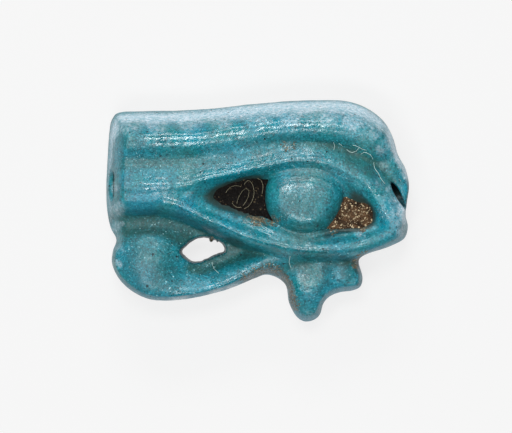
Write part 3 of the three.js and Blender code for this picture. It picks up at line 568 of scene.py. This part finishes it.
class Plan:
    """Maps of the amulet on a fine grid, which any point can be looked up in."""

    def __init__(self):
        half_x = AMULET_LENGTH / 2 + MAP_MARGIN
        half_y = AMULET_HEIGHT / 2 + MAP_MARGIN
        self.low = np.array((-half_x, -half_y))
        nx = int(round(2 * half_x / MAP_STEP)) + 1
        ny = int(round(2 * half_y / MAP_STEP)) + 1
        x, y = np.meshgrid(
            self.low[0] + np.arange(nx) * MAP_STEP, self.low[1] + np.arange(ny) * MAP_STEP,
            indexing="ij",
        )
        self.eye, rim = depth_in(x, y, SOCKET)
        self.relief = blurred(self.carved(x, y, rim), RELIEF_SOFTNESS / MAP_STEP)
        self.broad = blurred(self.relief, BROAD / MAP_STEP)
        self.edge, width, full = depth_in(x, y, OUTLINE)
        share = edge_rise(self.edge / width, full)
        height = RIM_HEIGHT + (self.relief - RIM_HEIGHT) * share
        mouth = smoothstep(depth_in(x, y, MOUTH)[0], *MOUTH_WALL)
        height = height + (np.minimum(height, MOUTH_SILL) - height) * mouth
        self.gap = self.ragged_gap(x, y)
        share = edge_rise(-self.gap / GAP_EDGE_WIDTH, 2.0)
        self.front = GAP_RIM_HEIGHT + (height - GAP_RIM_HEIGHT) * share
        slope = np.gradient(self.front, MAP_STEP)
        self.tilt = blurred(np.sqrt(1 + slope[0] ** 2 + slope[1] ** 2), 1)
        self.pupil = depth_in(x, y, PUPIL)[0]
        self.dome = self.pupil_dome()
        self.front = self.front + self.collar(y)

    def carved(self, x, y, rim):
        """The relief with the socket and the dents sunk into it."""
        height = relief(x, y)
        floor = depth_in(x, y, FLOOR)[0]
        inside = np.maximum(self.eye, 0)
        down = inside / (inside + np.maximum(-floor, 0) + 1e-9)
        fall = (down + smoothstep(down, 0, 1)) / 2
        slope = rim * LID_RIM + (SOCKET_FLOOR - rim * LID_RIM) * fall
        height = height + (slope - height) * smoothstep(self.eye, 0, LID_ROUND)
        for along, up, radius, depth in DENTS:
            height -= depth * fade(apart(x, y, placed(along, up)) / radius, 0, 1)
        return height

    def ragged_gap(self, x, y):
        """How deep a point lies in the openwork gap, whose rim is uneven and holds crumbs."""
        points = np.stack([x, y, 0 * x], -1)
        gap = depth_in(x, y, GAP)[0] + uneven(points, GAP_LUMPS)
        for place_x, place_y, radius, size in GAP_CRUMBS:
            gap -= size * fade(apart(x, y, px(place_x, place_y)) / radius, 0, 1)
        return gap

    def pupil_dome(self):
        """Height of the pupil: a rounded flank with a low crown, and falling away outside it."""
        flank = np.clip(self.pupil / PUPIL_ROUND, 0, 1)
        crown = np.clip(self.pupil / PUPIL_MIDDLE, 0, 1)
        dome = SOCKET_FLOOR + PUPIL_RISE * np.sqrt(flank * (2 - flank))
        dome += PUPIL_CROWN * crown * (2 - crown)
        return np.where(self.pupil > 0, dome, SOCKET_FLOOR + PUPIL_FALL * self.pupil)

    def collar(self, y):
        """What the glaze adds where it bridges the pupil's foot and the lids."""
        bridge = COLLAR + TOP_COLLAR * smoothstep(y, *TOP_COLLAR_RANGE)
        added = soft_max(self.front, self.dome - COLLAR_SINK, bridge) - self.front
        low, high = (SOCKET_FLOOR + lift for lift in COLLAR_LIFT_RANGE)
        added *= smoothstep(self.front, low, high)
        return added * fade(self.pupil, *COLLAR_REACH)

    def at(self, name, x, y):
        """A map's value at points, by bilinear lookup."""
        a = getattr(self, name)
        u = np.clip((x - self.low[0]) / MAP_STEP, 0, a.shape[0] - 1.001)
        v = np.clip((y - self.low[1]) / MAP_STEP, 0, a.shape[1] - 1.001)
        i, j = u.astype(int), v.astype(int)
        s, t = u - i, v - j
        return (
            a[i, j] * (1 - s) * (1 - t) + a[i + 1, j] * s * (1 - t)
            + a[i, j + 1] * (1 - s) * t + a[i + 1, j + 1] * s * t
        )


plan = Plan()


def front_height(x, y):
    return plan.at("front", x, y)


# Closed surfaces from a field that is positive inside
def surface_of(field, low, step):
    """Vertices and quads of the surface where the field is zero."""
    inside = field > 0
    shape = np.array(field.shape) - 1
    count = sum(
        inside[i:shape[0] + i, j:shape[1] + j, k:shape[2] + k].astype(np.int8) for i, j, k in CORNERS
    )
    cells = np.argwhere((count > 0) & (count < 8))
    index = np.full(tuple(shape), -1)
    index[tuple(cells.T)] = np.arange(len(cells))
    values = {c: field[tuple((cells + c).T)] for c in CORNERS}
    total = np.zeros((len(cells), 3))
    crossings = np.zeros(len(cells))
    for a in CORNERS:
        for axis in range(3):
            if a[axis]:
                continue
            b = tuple(1 if k == axis else a[k] for k in range(3))
            cut = (values[a] > 0) != (values[b] > 0)
            share = np.where(cut, values[a] / np.where(cut, values[a] - values[b], 1), 0)
            place = np.array(a, float)[None, :].repeat(len(cells), 0)
            place[:, axis] += share
            total += place * cut[:, None]
            crossings += cut
    vertices = low + (cells + total / crossings[:, None]) * step
    quads = []
    for axis in range(3):
        u, v = (axis + 1) % 3, (axis + 2) % 3
        first = np.moveaxis(inside, axis, 0)[:-1]
        second = np.moveaxis(inside, axis, 0)[1:]
        crossing = np.moveaxis(first != second, 0, axis)
        at = np.argwhere(crossing)
        at = at[(at[:, u] > 0) & (at[:, v] > 0) & (at[:, u] < shape[u]) & (at[:, v] < shape[v])]
        outward = inside[tuple(at.T)]

        def cell(du, dv):
            place = at.copy()
            place[:, u] += du
            place[:, v] += dv
            return index[tuple(place.T)]

        ring = np.stack([cell(-1, -1), cell(0, -1), cell(0, 0), cell(-1, 0)], 1)
        quads.append(np.where(outward[:, None], ring, ring[:, ::-1]))
    return vertices, np.concatenate(quads)


def vertex_normals(vertices, quads):
    a, b, c, d = (vertices[quads[:, k]] for k in range(4))
    face = np.cross(c - a, d - b)
    normals = np.zeros_like(vertices)
    for k in range(4):
        np.add.at(normals, quads[:, k], face)
    return normals / np.maximum(np.linalg.norm(normals, axis=1, keepdims=True), 1e-12)


def relaxed(vertices, quads, rounds, share):
    """Each vertex moved a share of the way to the mean of its neighbours."""
    for _ in range(rounds):
        total = np.zeros_like(vertices)
        count = np.zeros(len(vertices))
        for k in range(4):
            here, there = quads[:, k], quads[:, (k + 1) % 4]
            np.add.at(total, here, vertices[there])
            np.add.at(total, there, vertices[here])
            np.add.at(count, here, 1)
            np.add.at(count, there, 1)
        vertices = vertices + share * (total / count[:, None] - vertices)
    return vertices


def grid_of(low, high, step):
    """The first corner of a grid and its three axes."""
    axes = [np.arange(a, b + step, step) for a, b in zip(low, high)]
    return np.array([a[0] for a in axes]), np.meshgrid(*axes, indexing="ij", sparse=True)


def mesh_object(name, vertices, quads, masks, material, node, slot):
    mesh = bpy.data.meshes.new(name)
    mesh.from_pydata((vertices * MM).tolist(), [], quads.tolist())
    mesh.polygons.foreach_set("use_smooth", [True] * len(mesh.polygons))
    for key, values in masks.items():
        layer = mesh.attributes.new(key, "FLOAT", "POINT")
        layer.data.foreach_set("value", np.asarray(values, np.float32))
    mesh.materials.append(material)
    mesh.update()
    piece = bpy.data.objects.new(name, mesh)
    bpy.context.scene.collection.objects.link(piece)
    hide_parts(node)
    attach(piece, "root")


# Nodes
class Nodes:
    """A short way to write the nodes of a material or of the world."""

    def __init__(self, owner):
        owner.use_nodes = True
        self.owner = owner
        self.tree = owner.node_tree
        self.tree.nodes.clear()

    def link(self, value, socket):
        if isinstance(value, bpy.types.NodeSocket):
            self.tree.links.new(value, socket)
        elif value is not None:
            socket.default_value = value

    def add(self, kind, inputs=None, **settings):
        """A new node with its settings, and a value or another node's output for its inputs."""
        node = self.tree.nodes.new(kind)
        for key, value in settings.items():
            setattr(node, key, value)
        for key, value in (inputs or {}).items():
            self.link(value, node.inputs[key])
        return node

    def math(self, operation, a, b, clamp=False):
        node = self.add("ShaderNodeMath", {0: a, 1: b}, operation=operation, use_clamp=clamp)
        return node.outputs[0]

    def times(self, a, b):
        return self.math("MULTIPLY", a, b)

    def plus(self, a, b):
        return self.math("ADD", a, b)

    def less(self, a, b):
        return self.math("SUBTRACT", a, b)

    def most(self, a, b):
        return self.math("MAXIMUM", a, b)

    def mixed(self, share, first, second):
        """Two shaders mixed by a share."""
        inputs = {0: share, 1: first.outputs[0], 2: second.outputs[0]}
        return self.add("ShaderNodeMixShader", inputs)

    def end(self, kind, shader):
        """Leads a shader to the output and gives back the material or the world."""
        self.add(kind, {"Surface": shader.outputs[0]})
        return self.owner


class Looks(Nodes):
    """The nodes of a piece's material, worked out in millimetres on the piece."""

    def __init__(self, name):
        super().__init__(bpy.data.materials.new(name))
        place = self.add("ShaderNodeTexCoord").outputs["Object"]
        self.place = self.vector("MULTIPLY", place, (1 / MM,) * 3)

    def vector(self, operation, a, b):
        return self.add("ShaderNodeVectorMath", {0: a, 1: b}, operation=operation).outputs[0]

    def noise(self, scale, detail, roughness, offset=(0, 0, 0)):
        place = self.vector("ADD", self.place, offset)
        inputs = {"Vector": place, "Scale": scale, "Detail": detail, "Roughness": roughness}
        return self.add("ShaderNodeTexNoise", inputs).outputs["Fac"]

    def cells(self, scale, offset, output):
        place = self.vector("ADD", self.place, offset)
        return self.add("ShaderNodeTexVoronoi", {"Vector": place, "Scale": scale}).outputs[output]

    def grains(self, scale, offset=(0, 0, 0)):
        """Two random values for each of a packing of grains."""
        node = self.add("ShaderNodeSeparateColor", {0: self.cells(scale, offset, "Color")})
        return node.outputs[0], node.outputs[1]

    def mask(self, name):
        return self.add("ShaderNodeAttribute", attribute_name=name).outputs["Fac"]

    def between(self, value, low, high, out_low=0.0, out_high=1.0):
        """A value's smooth rise from out_low at low to out_high at high."""
        inputs = {
            "Value": value, "From Min": low, "From Max": high, "To Min": out_low, "To Max": out_high,
        }
        node = self.add("ShaderNodeMapRange", inputs, interpolation_type="SMOOTHSTEP")
        return node.outputs["Result"]

    def mix(self, share, a, b):
        """Two colours mixed by a share."""
        node = self.add("ShaderNodeMix", {"Factor": share, "A": a, "B": b}, data_type="RGBA")
        return [o for o in node.outputs if o.type == "RGBA"][0]

    def coat(self, share, colour):
        """Lays a colour over the piece's colour by a share."""
        self.colour = self.mix(share, self.colour, colour)

    def bump(self, height, distance, normal=None):
        inputs = {"Height": height, "Strength": 1.0, "Distance": distance * MM, "Normal": normal}
        return self.add("ShaderNodeBump", inputs).outputs["Normal"]

    def finish(self, roughness, normal, ior, specular):
        inputs = {
            "Base Color": self.colour, "Roughness": roughness, "Normal": normal, "IOR": ior,
            "Specular IOR Level": specular,
        }
        return self.end("ShaderNodeOutputMaterial", self.add("ShaderNodeBsdfPrincipled", inputs))


def tone(*rgb):
    """A colour given as on a screen, 0 to 255, in linear shares."""
    linear = [(v / 255 / 12.92) if v < 11 else ((v / 255 + 0.055) / 1.055) ** 2.4 for v in rgb]
    return (*linear, 1.0)


def glaze_material():
    n = Looks("faience_glaze")
    broad = n.noise(0.35, 3, 0.5)
    mottle = n.noise(1.3, 5, 0.65, (7, 3, 1))
    speckle = n.noise(4.5, 4, 0.7, (3, 9, 4))
    fine, coat = n.grains(12.5)
    tiny, tint = n.grains(15, (5, 2, 9))
    pits = n.noise(6, 2, 0.5, (8, 1, 5))
    sunk = n.times(n.mask("sunk"), n.between(mottle, 0.25, 0.6, 0.75, 1))

    # Turquoise, bluer where the glaze lies thick and as painted shade on edges that face down, and
    # darker on sunk ground, partly pooled glaze and partly painted shade
    n.colour = n.mix(n.between(broad, 0.35, 0.65), tone(2, 113, 120), tone(0, 123, 142))
    n.coat(n.between(mottle, 0.42, 0.66, 0, 0.85), tone(2, 94, 108))
    n.coat(n.times(n.mask("deep"), 0.85), tone(0, 116, 140))
    n.coat(sunk, tone(6, 76, 74))

    # Pale weathered coat, partly painted sheen and painted highlights
    film_and_painted_light = n.mix(n.between(speckle, 0.35, 0.65), tone(140, 190, 208), tone(222, 232, 242))
    pale = n.plus(n.mask("pale"), n.times(n.less(mottle, 0.5), 0.7))
    pale = n.plus(pale, n.times(n.less(speckle, 0.5), 0.8))
    pale = n.times(n.between(pale, 0, 1.2, 0, 0.95), n.between(n.mask("pale"), 0, 0.4))
    n.coat(pale, film_and_painted_light)

    # Dust, dark and light grains, pale specks painted as glints, and dark spots
    dust = n.times(n.mask("dust"), n.between(speckle, 0.35, 0.65, 0.1, 0.5))
    n.coat(dust, tone(58, 112, 104))
    patchy = n.between(mottle, 0.3, 0.6, 0.5, 1)
    dark = n.times(n.between(fine, 0, 0.3, 0.85, 0), patchy)
    dark = n.times(dark, n.less(1, n.times(pale, 0.7)))
    n.coat(dark, tone(2, 62, 70))
    patchy = n.between(speckle, 0.35, 0.65, 0.3, 1)
    light = n.times(n.between(fine, 0.65, 1, 0, 0.6), patchy)
    light = n.times(light, n.less(1, n.times(sunk, 0.5)))
    n.coat(light, tone(62, 166, 186))
    # Pale specks painted as glints
    painted_glints = n.times(n.between(tiny, 0.92, 0.97), n.between(speckle, 0.48, 0.68, 0, 0.9))
    painted_glints = n.times(painted_glints, n.between(broad, 0.38, 0.62, 0.15, 1))
    n.coat(painted_glints, tone(186, 234, 240))
    spots = n.times(n.between(pits, 0.62, 0.72), n.between(broad, 0.4, 0.6, 0.3, 1))
    n.coat(n.times(spots, 0.7), tone(6, 60, 68))

    # Stains with painted shade beneath the lower lid and round the gap, crusts of soil, painted
    # shade on the bore's wall, and pinholes
    stain = n.plus(n.mask("stain"), n.times(mottle, 0.3))
    stain = n.between(stain, 0.3, 1.1, 0, 0.9)
    n.coat(stain, tone(24, 42, 36))
    covered = n.less(n.times(n.mask("soil"), 1.5), fine)
    covered = n.between(n.plus(covered, n.times(speckle, 0.6)), 0.2, 0.7)
    covered = n.times(covered, n.between(n.mask("soil"), 0.02, 0.2))
    brown = n.mix(n.between(tint, 0.35, 0.9), tone(52, 48, 34), tone(118, 108, 82))
    brown = n.mix(n.between(tiny, 0.88, 1, 0, 0.7), brown, tone(206, 200, 178))
    n.coat(covered, brown)
    n.coat(n.mask("bore"), tone(10, 44, 46))
    holes = n.between(n.cells(1, (4, 4, 4), "Distance"), 0.05, 0.08, 1, 0)
    n.coat(holes, tone(6, 34, 40))
    n.coat(n.mask("fibre"), tone(176, 206, 204))

    # Rougher wherever something lies on the glaze or it is weathered
    weathered = n.times(n.less(1, n.mask("gloss")), n.between(mottle, 0.3, 0.7, 0.5, 0.75))
    dull = (n.times(n.mask("dust"), 0.6), n.times(n.mask("pale"), 0.5), sunk, weathered)
    rough_more = n.most(covered, stain)
    for share in dull:
        rough_more = n.most(rough_more, share)
    roughness = n.between(coat, 0, 1, 0.11, 0.28)
    roughness = n.math("ADD", roughness, n.times(rough_more, 0.45), True)
    height = n.plus(n.noise(2.6, 1, 0.5, (4, 6, 2)), n.times(fine, 0.12))
    height = n.plus(height, n.times(covered, 1.2))
    height = n.less(height, n.times(holes, 1.5))
    normal = n.bump(height, 0.04)
    normal = n.bump(n.noise(7, 1, 0.5, (2, 2, 6)), 0.014, normal)
    return n.finish(roughness, normal, 1.55, 0.5)


def soil_material(name, dark, mid, light, share):
    """Packed soil of three tones, with the given share of light grains."""
    n = Looks(name)
    clod = n.noise(1.6, 4, 0.6)
    crumb = n.noise(5, 3, 0.65, (2, 5, 1))
    fine, tint = n.grains(16, (1, 1, 1))
    coarse = n.grains(11, (3, 6, 2))[0]
    n.colour = n.mix(n.between(clod, 0.35, 0.65), tone(*dark), tone(*mid))
    n.coat(n.between(fine, 0, 0.35, 0.8, 0), tone(*[v * 0.5 for v in dark]))
    n.coat(n.between(fine, 0.65, 1, 0, 0.8), tone(*mid))
    small = n.between(fine, 1 - share * 0.7, 1)
    grains = n.most(n.between(coarse, 1 - share, 1), small)
    n.coat(n.times(grains, 0.9), tone(*light))
    n.coat(n.mask("fibre"), tone(134, 128, 106))
    height = n.plus(crumb, n.times(fine, 0.5))
    height = n.plus(height, n.times(coarse, 0.5))
    roughness = n.between(tint, 0, 1, 0.6, 1)
    return n.finish(roughness, n.bump(height, 0.12), 1.45, 0.2)


glaze = glaze_material()
rear_soil = soil_material("rear_soil_looks", (5, 3, 2), (17, 12, 9), (92, 80, 60), 0.03)
front_soil = soil_material("front_soil_looks", (34, 24, 16), (96, 72, 50), (206, 188, 152), 0.13)


# The glazed body
def bore_depth(x, y, z):
    """Distance outside the bore's wall, positive in the clay."""
    start, end = (np.array(placed(k, share)) for k, share in enumerate(BORE_ENDS))
    along = (end - start) / np.linalg.norm(end - start)
    across = (x - start[0]) * -along[1] + (y - start[1]) * along[0]
    return np.hypot(across, z - BORE_BACK_WALL - BORE_RADIUS) - BORE_RADIUS


def body_field(x, y, z):
    """Positive inside the clay, about in millimetres."""
    front = (front_height(x, y) - z) / plan.at("tilt", x, y)
    side = np.minimum(plan.at("edge", x, y), -plan.at("gap", x, y))
    field = soft_min(front, side, EDGE_ROUND)
    field = soft_min(field, z, BACK_ROUND)
    lip = BORE_LIP - (BORE_LIP - FRONT_LIP) * smoothstep(x, *FRONT_LIP_RANGE)
    return soft_min(field, bore_depth(x, y, z), lip)


def settled(vertices, field, step, rounds=3):
    """The vertices moved onto the place where the field is zero."""
    for _ in range(rounds):
        x, y, z = vertices.T
        level = field(x, y, z)
        probe = 0.4 * step
        uphill = np.stack([
            field(x + probe, y, z) - field(x - probe, y, z),
            field(x, y + probe, z) - field(x, y - probe, z),
            field(x, y, z + probe) - field(x, y, z - probe),
        ], 1) / (2 * probe)
        square = np.maximum((uphill**2).sum(1), 0.2)
        move = -(level / square)[:, None] * uphill
        reach = np.linalg.norm(move, axis=1, keepdims=True)
        vertices = vertices + move * np.minimum(1, 0.5 * step / np.maximum(reach, 1e-9))
    return vertices


def body_piece():
    half = (AMULET_LENGTH / 2 + BODY_MARGIN, AMULET_HEIGHT / 2 + BODY_MARGIN)
    low, (x, y, z) = grid_of((-half[0], -half[1], -BODY_MARGIN), (*half, BODY_TOP), BODY_STEP)
    vertices, quads = surface_of(body_field(*np.broadcast_arrays(x, y, z)), low, BODY_STEP)
    vertices = settled(relaxed(vertices, quads, 3, 0.5), body_field, BODY_STEP)
    normals = vertex_normals(vertices, quads)
    lift = uneven(vertices, BODY_LUMPS) * smoothstep(vertices[:, 2], 0.0, LUMP_FADE)
    return vertices + normals * lift[:, None], quads


def patches(x, y, spots, shift=0):
    """The strongest of soft round patches at each point, after the points are shifted."""
    total = np.zeros(x.shape)
    for place_x, place_y, radius, strength in spots:
        away = apart(x + shift, y + shift, px(place_x, place_y)) * PX_PER_MM / radius
        total = np.maximum(total, strength * fade(away, 0.35, 1))
    return total


def sunk_ground_shade(x, y, z, upward, edge, ragged):
    """Painted shade, partly pooled glaze, where the ground lies below its surroundings, or low as a
    whole.
    """
    below = plan.at("broad", x, y) - plan.at("relief", x, y)
    low = smoothstep(LOW_GROUND - z, 0, 0.9) * smoothstep(edge, 0.2, 1)
    low *= rise(y, -3.2, -2, 0.3)
    sunk = smoothstep(below + 0.06 * ragged, 0.02, 0.35) + 0.9 * low
    return np.clip(sunk, 0, 1) * smoothstep(upward, 0.2, 0.7)


def pale_wear_and_sheen(x, y, z, facing, edge, ragged):
    """The pale weathering along the upper edge and the ends, and its patches, partly painted sheen
    on the sides that face up and out, and painted highlights on crests.
    """
    lit_facing = np.maximum(facing[:, 1], 0.9 * np.abs(facing[:, 0])) * rise(y, -1.6, -0.4, 0.15)
    rear_reach = 0.3 * smoothstep(-y, -6, -4) + 0.9 * smoothstep(y, 4, 6)
    reach = np.where(x < REAR_BAND, rear_reach, 0.9)
    rim = smoothstep(lit_facing + 0.15 * ragged, 0.3, 0.95)
    rim *= fade(edge + 0.25 * ragged, 0.4 * reach, 1.6 * reach)
    rim *= rise(z + 0.5 * ragged, 0.8, 2.8, 0.25)
    rim = np.maximum(rim, patches(x, y, PALE_AND_HIGHLIGHT_SPOTS, FILM_SHIFT * ragged))
    return np.clip(rim, 0, 1)


def socket_stain(x, y, z, ragged):
    """The dark line that the soil leaves on the socket's wall."""
    fill = SOCKET_FLOOR + np.where(x < SOCKET_MIDDLE, REAR_FILL_DEPTH, FRONT_FILL_DEPTH)
    stain = smoothstep(plan.at("eye", x, y), 0.1, 0.5) * fade(z + 0.1 * ragged, fill, fill + 0.7)
    return stain * fade(plan.at("pupil", x, y), -0.7, -0.2, 0.6)


def bore_wall_shade(x, y, z, edge):
    """Painted shade on the wall of the bore, lighter at its front mouth."""
    rear_rim = 0.35 * (edge < 0.5) * (x < 0)
    dark = fade(np.abs(bore_depth(x, y, z)) + rear_rim, 0.05, 0.3)
    dark *= fade(z, 3.3, 3.6)
    return dark * fade(x, BORE_MOUTH, 9.9, 0.8)


def body_masks(vertices, quads):
    """Shares of each of the glaze's looks at the vertices."""
    x, y, z = vertices.T
    normals = vertex_normals(vertices, quads)
    facing = relaxed(normals, quads, 30, 0.7)
    edge = plan.at("edge", x, y)
    ragged = uneven(vertices, RAGGED_LUMPS)
    sunk = sunk_ground_shade(x, y, z, normals[:, 2], edge, ragged)
    # Painted shade inside the bore
    dark = bore_wall_shade(x, y, z, edge)
    arch = np.array([px(*place) for place in ARCH])
    strip = 0.45 * fade(nearest(x, y, arch, False)[0] + 0.12 * ragged, 0.15, 0.6)
    soil = np.maximum(patches(x, y, SOIL_SPOTS, SOIL_SHIFT * ragged), strip)
    film_and_painted_light = np.maximum(patches(x, y, FILM_AND_SHADE_SPOTS, FILM_SHIFT * ragged), strip)
    # The gap's rim darkened, partly crust and partly painted shade
    gap_rim_crust_and_shade = fade(-plan.at("gap", x, y) + 0.06 * ragged, 0, 0.25)
    # Painted shade: edges near the outline that face down are made deeper blue
    underside_shade = smoothstep(-facing[:, 1], 0.2, 0.8) * fade(edge, 0.1, 0.6)
    glossy = [(a, b, GLOSS_SPREAD * radius, share) for a, b, radius, share in GLOSS_SPOTS]
    stain = np.maximum(socket_stain(x, y, z, ragged), film_and_painted_light)
    shift = SHADE_SHIFT * ragged
    return {
        # Sunk ground and shade spots: painted shade, partly pooled glaze
        "sunk": np.maximum(sunk, patches(x, y, SHADE_SPOTS, shift)),
        "pale": pale_wear_and_sheen(x, y, z, facing, edge, ragged) * (1 - dark),
        "deep": np.maximum(underside_shade, patches(x, y, DEEP_SPOTS, shift)),
        "soil": soil * (1 + 0.3 * ragged) * rise(z + 0.8 * ragged, 0.8, 2.4, 0.2),
        "stain": np.maximum(stain, 0.7 * gap_rim_crust_and_shade),
        "dust": np.maximum(patches(x, y, DUST_SPOTS), 0.2 * sunk),
        "gloss": patches(x, y, glossy, shift),
        "bore": dark,
    }


def with_fibres(vertices, quads, masks, lines, top):
    """The mesh and its masks with a thin closed tube added along each line, lying on top(x, y)."""
    meshes, faces, start = [vertices], [quads], len(vertices)
    for line in lines:
        path = smoothed([px_share(*place) for place in line], False)
        count = len(path)
        height = top(path[:, 0], path[:, 1]) + FIBRE_STAND * FIBRE_RADIUS
        height = height + FIBRE_ARCH * np.sin(np.pi * np.arange(count) / (count - 1))
        path = np.column_stack([path, height])
        side = np.cross(np.gradient(path, axis=0), (0, 0, 1))
        side /= np.linalg.norm(side, axis=1, keepdims=True)
        up = np.array((0, 0, 1.0))
        ring = [
            path + FIBRE_RADIUS * (a * side + b * up) for a, b in ((1, 0), (0, 1), (-1, 0), (0, -1))
        ]
        meshes.append(np.stack(ring, 1).reshape(-1, 3))
        at = start + 4 * np.arange(count - 1)[:, None]
        for k in range(4):
            after = (k + 1) % 4
            faces.append(np.hstack([at + k, at + 4 + k, at + 4 + after, at + after]))
        last = start + 4 * (count - 1)
        first_end, last_end = range(start, start + 4), range(last + 3, last - 1, -1)
        faces.append(np.array([first_end, last_end]))
        start += 4 * count
    extra = start - len(vertices)
    masks = {key: np.concatenate([values, np.zeros(extra)]) for key, values in masks.items()}
    masks["fibre"] = np.concatenate([np.zeros(len(vertices)), np.ones(extra)])
    return np.concatenate(meshes), np.concatenate(faces), masks


body = body_piece()
body = with_fibres(*body, body_masks(*body), BODY_FIBRES, front_height)
mesh_object("glazed_body", *body, glaze, "faience_body", "glazed_faience")


# What lies in the socket
def bedded_piece(box, top, step):
    """A closed piece from a little below the body's front up to top(x, y)."""

    def field(x, y, z):
        return np.minimum(top(x, y) - z, z - front_height(x, y) + BED_DEPTH)

    low, axes = grid_of(*box, step)
    vertices, quads = surface_of(field(*np.broadcast_arrays(*axes)), low, step)
    return settled(relaxed(vertices, quads, 3, 0.5), field, step), quads


def pupil_top(x, y):
    """The pupil's dome and the skirt that joins it to the body."""
    skirt = soft_max(plan.at("dome", x, y), front_height(x, y) - SKIRT_SINK, COLLAR)
    return np.where(plan.at("pupil", x, y) > -SKIRT, skirt, 0.0)


def pupil_looks(vertices, quads):
    """The glaze's looks on the pupil, with painted shade as a darker rim round its lower part."""
    x, y = vertices[:, 0], vertices[:, 1]
    rim = 0.6 * fade(plan.at("pupil", x, y), 0, 0.4) * fade(y, 0.6, 1.8, 0.8)
    shade = np.maximum(patches(x, y, SHADE_SPOTS), rim)
    return {**body_masks(vertices, quads), "sunk": shade}


def fill_top(depth, in_front, layers):
    """The top of the fill in one corner of the eye, and 0 outside that corner."""
    middle = placed(sum(row[0] for row in PUPIL) / len(PUPIL), 0)[0]

    def top(x, y):
        rough = uneven(np.stack([x, y, 0 * x], -1), layers)
        if in_front:
            slope = FRONT_SLOPE * np.maximum(y - FRONT_SLOPE_START, 0)
            rough = rough - (slope + FRONT_DROP * smoothstep(-y, *FRONT_DROP_RANGE))
        corner = x > middle if in_front else x < middle
        inside = corner & (plan.at("eye", x, y) > 0)
        return np.where(inside, SOCKET_FLOOR + depth + rough, 0.0)

    return top


pupil = bedded_piece(PUPIL_BOX, pupil_top, PUPIL_STEP)
mesh_object("glazed_pupil", *pupil, pupil_looks(*pupil), glaze, "pupil", "pupil_faience")
rear_top = fill_top(REAR_FILL_DEPTH, False, REAR_LUMPS)
rear = with_fibres(*bedded_piece(REAR_BOX, rear_top, FILL_STEP), {}, REAR_FIBRES, rear_top)
mesh_object("rear_packed_soil", *rear, rear_soil, "rear_corner_fill", "rear_soil")
front_top = fill_top(FRONT_FILL_DEPTH, True, FRONT_LUMPS)
front = bedded_piece(FRONT_BOX, front_top, FILL_STEP)
mesh_object("front_packed_soil", *front, {}, front_soil, "front_corner_fill", "front_soil")


# Floor, light and camera
def grey(shade):
    return (shade, shade, shade, 1)


def floor():
    s = FLOOR_SIZE
    mesh = bpy.data.meshes.new("pale_floor")
    mesh.from_pydata([(-s, -s, 0), (s, -s, 0), (s, s, 0), (-s, s, 0)], [], [(0, 1, 2, 3)])
    piece = bpy.data.objects.new("pale_floor", mesh)
    bpy.context.scene.collection.objects.link(piece)
    n = Nodes(bpy.data.materials.new("floor_looks"))
    matt = n.add("ShaderNodeBsdfDiffuse", {"Color": grey(FLOOR_TONE)})
    glow = n.add("ShaderNodeEmission", {"Color": grey(PALE_TONE), "Strength": 1.0})
    rays = n.add("ShaderNodeLightPath").outputs
    seen = n.times(n.most(rays["Is Camera Ray"], rays["Is Glossy Ray"]), FLOOR_GLOW)
    mesh.materials.append(n.end("ShaderNodeOutputMaterial", n.mixed(seen, matt, glow)))
    piece.location.z = -FLOOR_DROP


def lamp(name, place, size, power):
    """A softbox that faces the amulet."""
    data = bpy.data.lights.new(name, "AREA")
    data.shape = "RECTANGLE"
    data.size, data.size_y = size
    data.energy = power
    item = bpy.data.objects.new(name, data)
    bpy.context.scene.collection.objects.link(item)
    item.location = place
    item.rotation_mode = "QUATERNION"
    item.rotation_quaternion = (-Vector(place)).to_track_quat("-Z", "Y")


def world():
    """A dim even room, which the camera sees as the pale backdrop."""
    room = bpy.data.worlds.new("soft_room")
    bpy.context.scene.world = room
    n = Nodes(room)
    even, pale = (
        n.add("ShaderNodeBackground", {"Color": grey(shade), "Strength": strength})
        for shade, strength in ((1, ROOM_LIGHT), (PALE_TONE, 1.0))
    )
    seen = n.add("ShaderNodeLightPath").outputs["Is Camera Ray"]
    n.end("ShaderNodeOutputWorld", n.mixed(seen, even, pale))


def camera():
    """A long lens straight above, which frames the amulet as the photograph does."""
    data = bpy.data.cameras.new("camera")
    data.sensor_width = SENSOR_WIDTH
    data.lens = SENSOR_WIDTH * CAMERA_DISTANCE / (FRAME_WIDTH / PX_PER_MM * MM)
    data.clip_start, data.clip_end = 0.01, 5
    item = bpy.data.objects.new("camera", data)
    bpy.context.scene.collection.objects.link(item)
    x, y = px(FRAME_WIDTH / 2, FRAME_HEIGHT / 2)
    item.location = (x * MM, y * MM, CAMERA_HEIGHT)
    bpy.context.scene.camera = item


floor()
for softbox in LAMPS:
    lamp(*softbox)
world()
camera()
bpy.context.scene.view_settings.view_transform = "Standard"
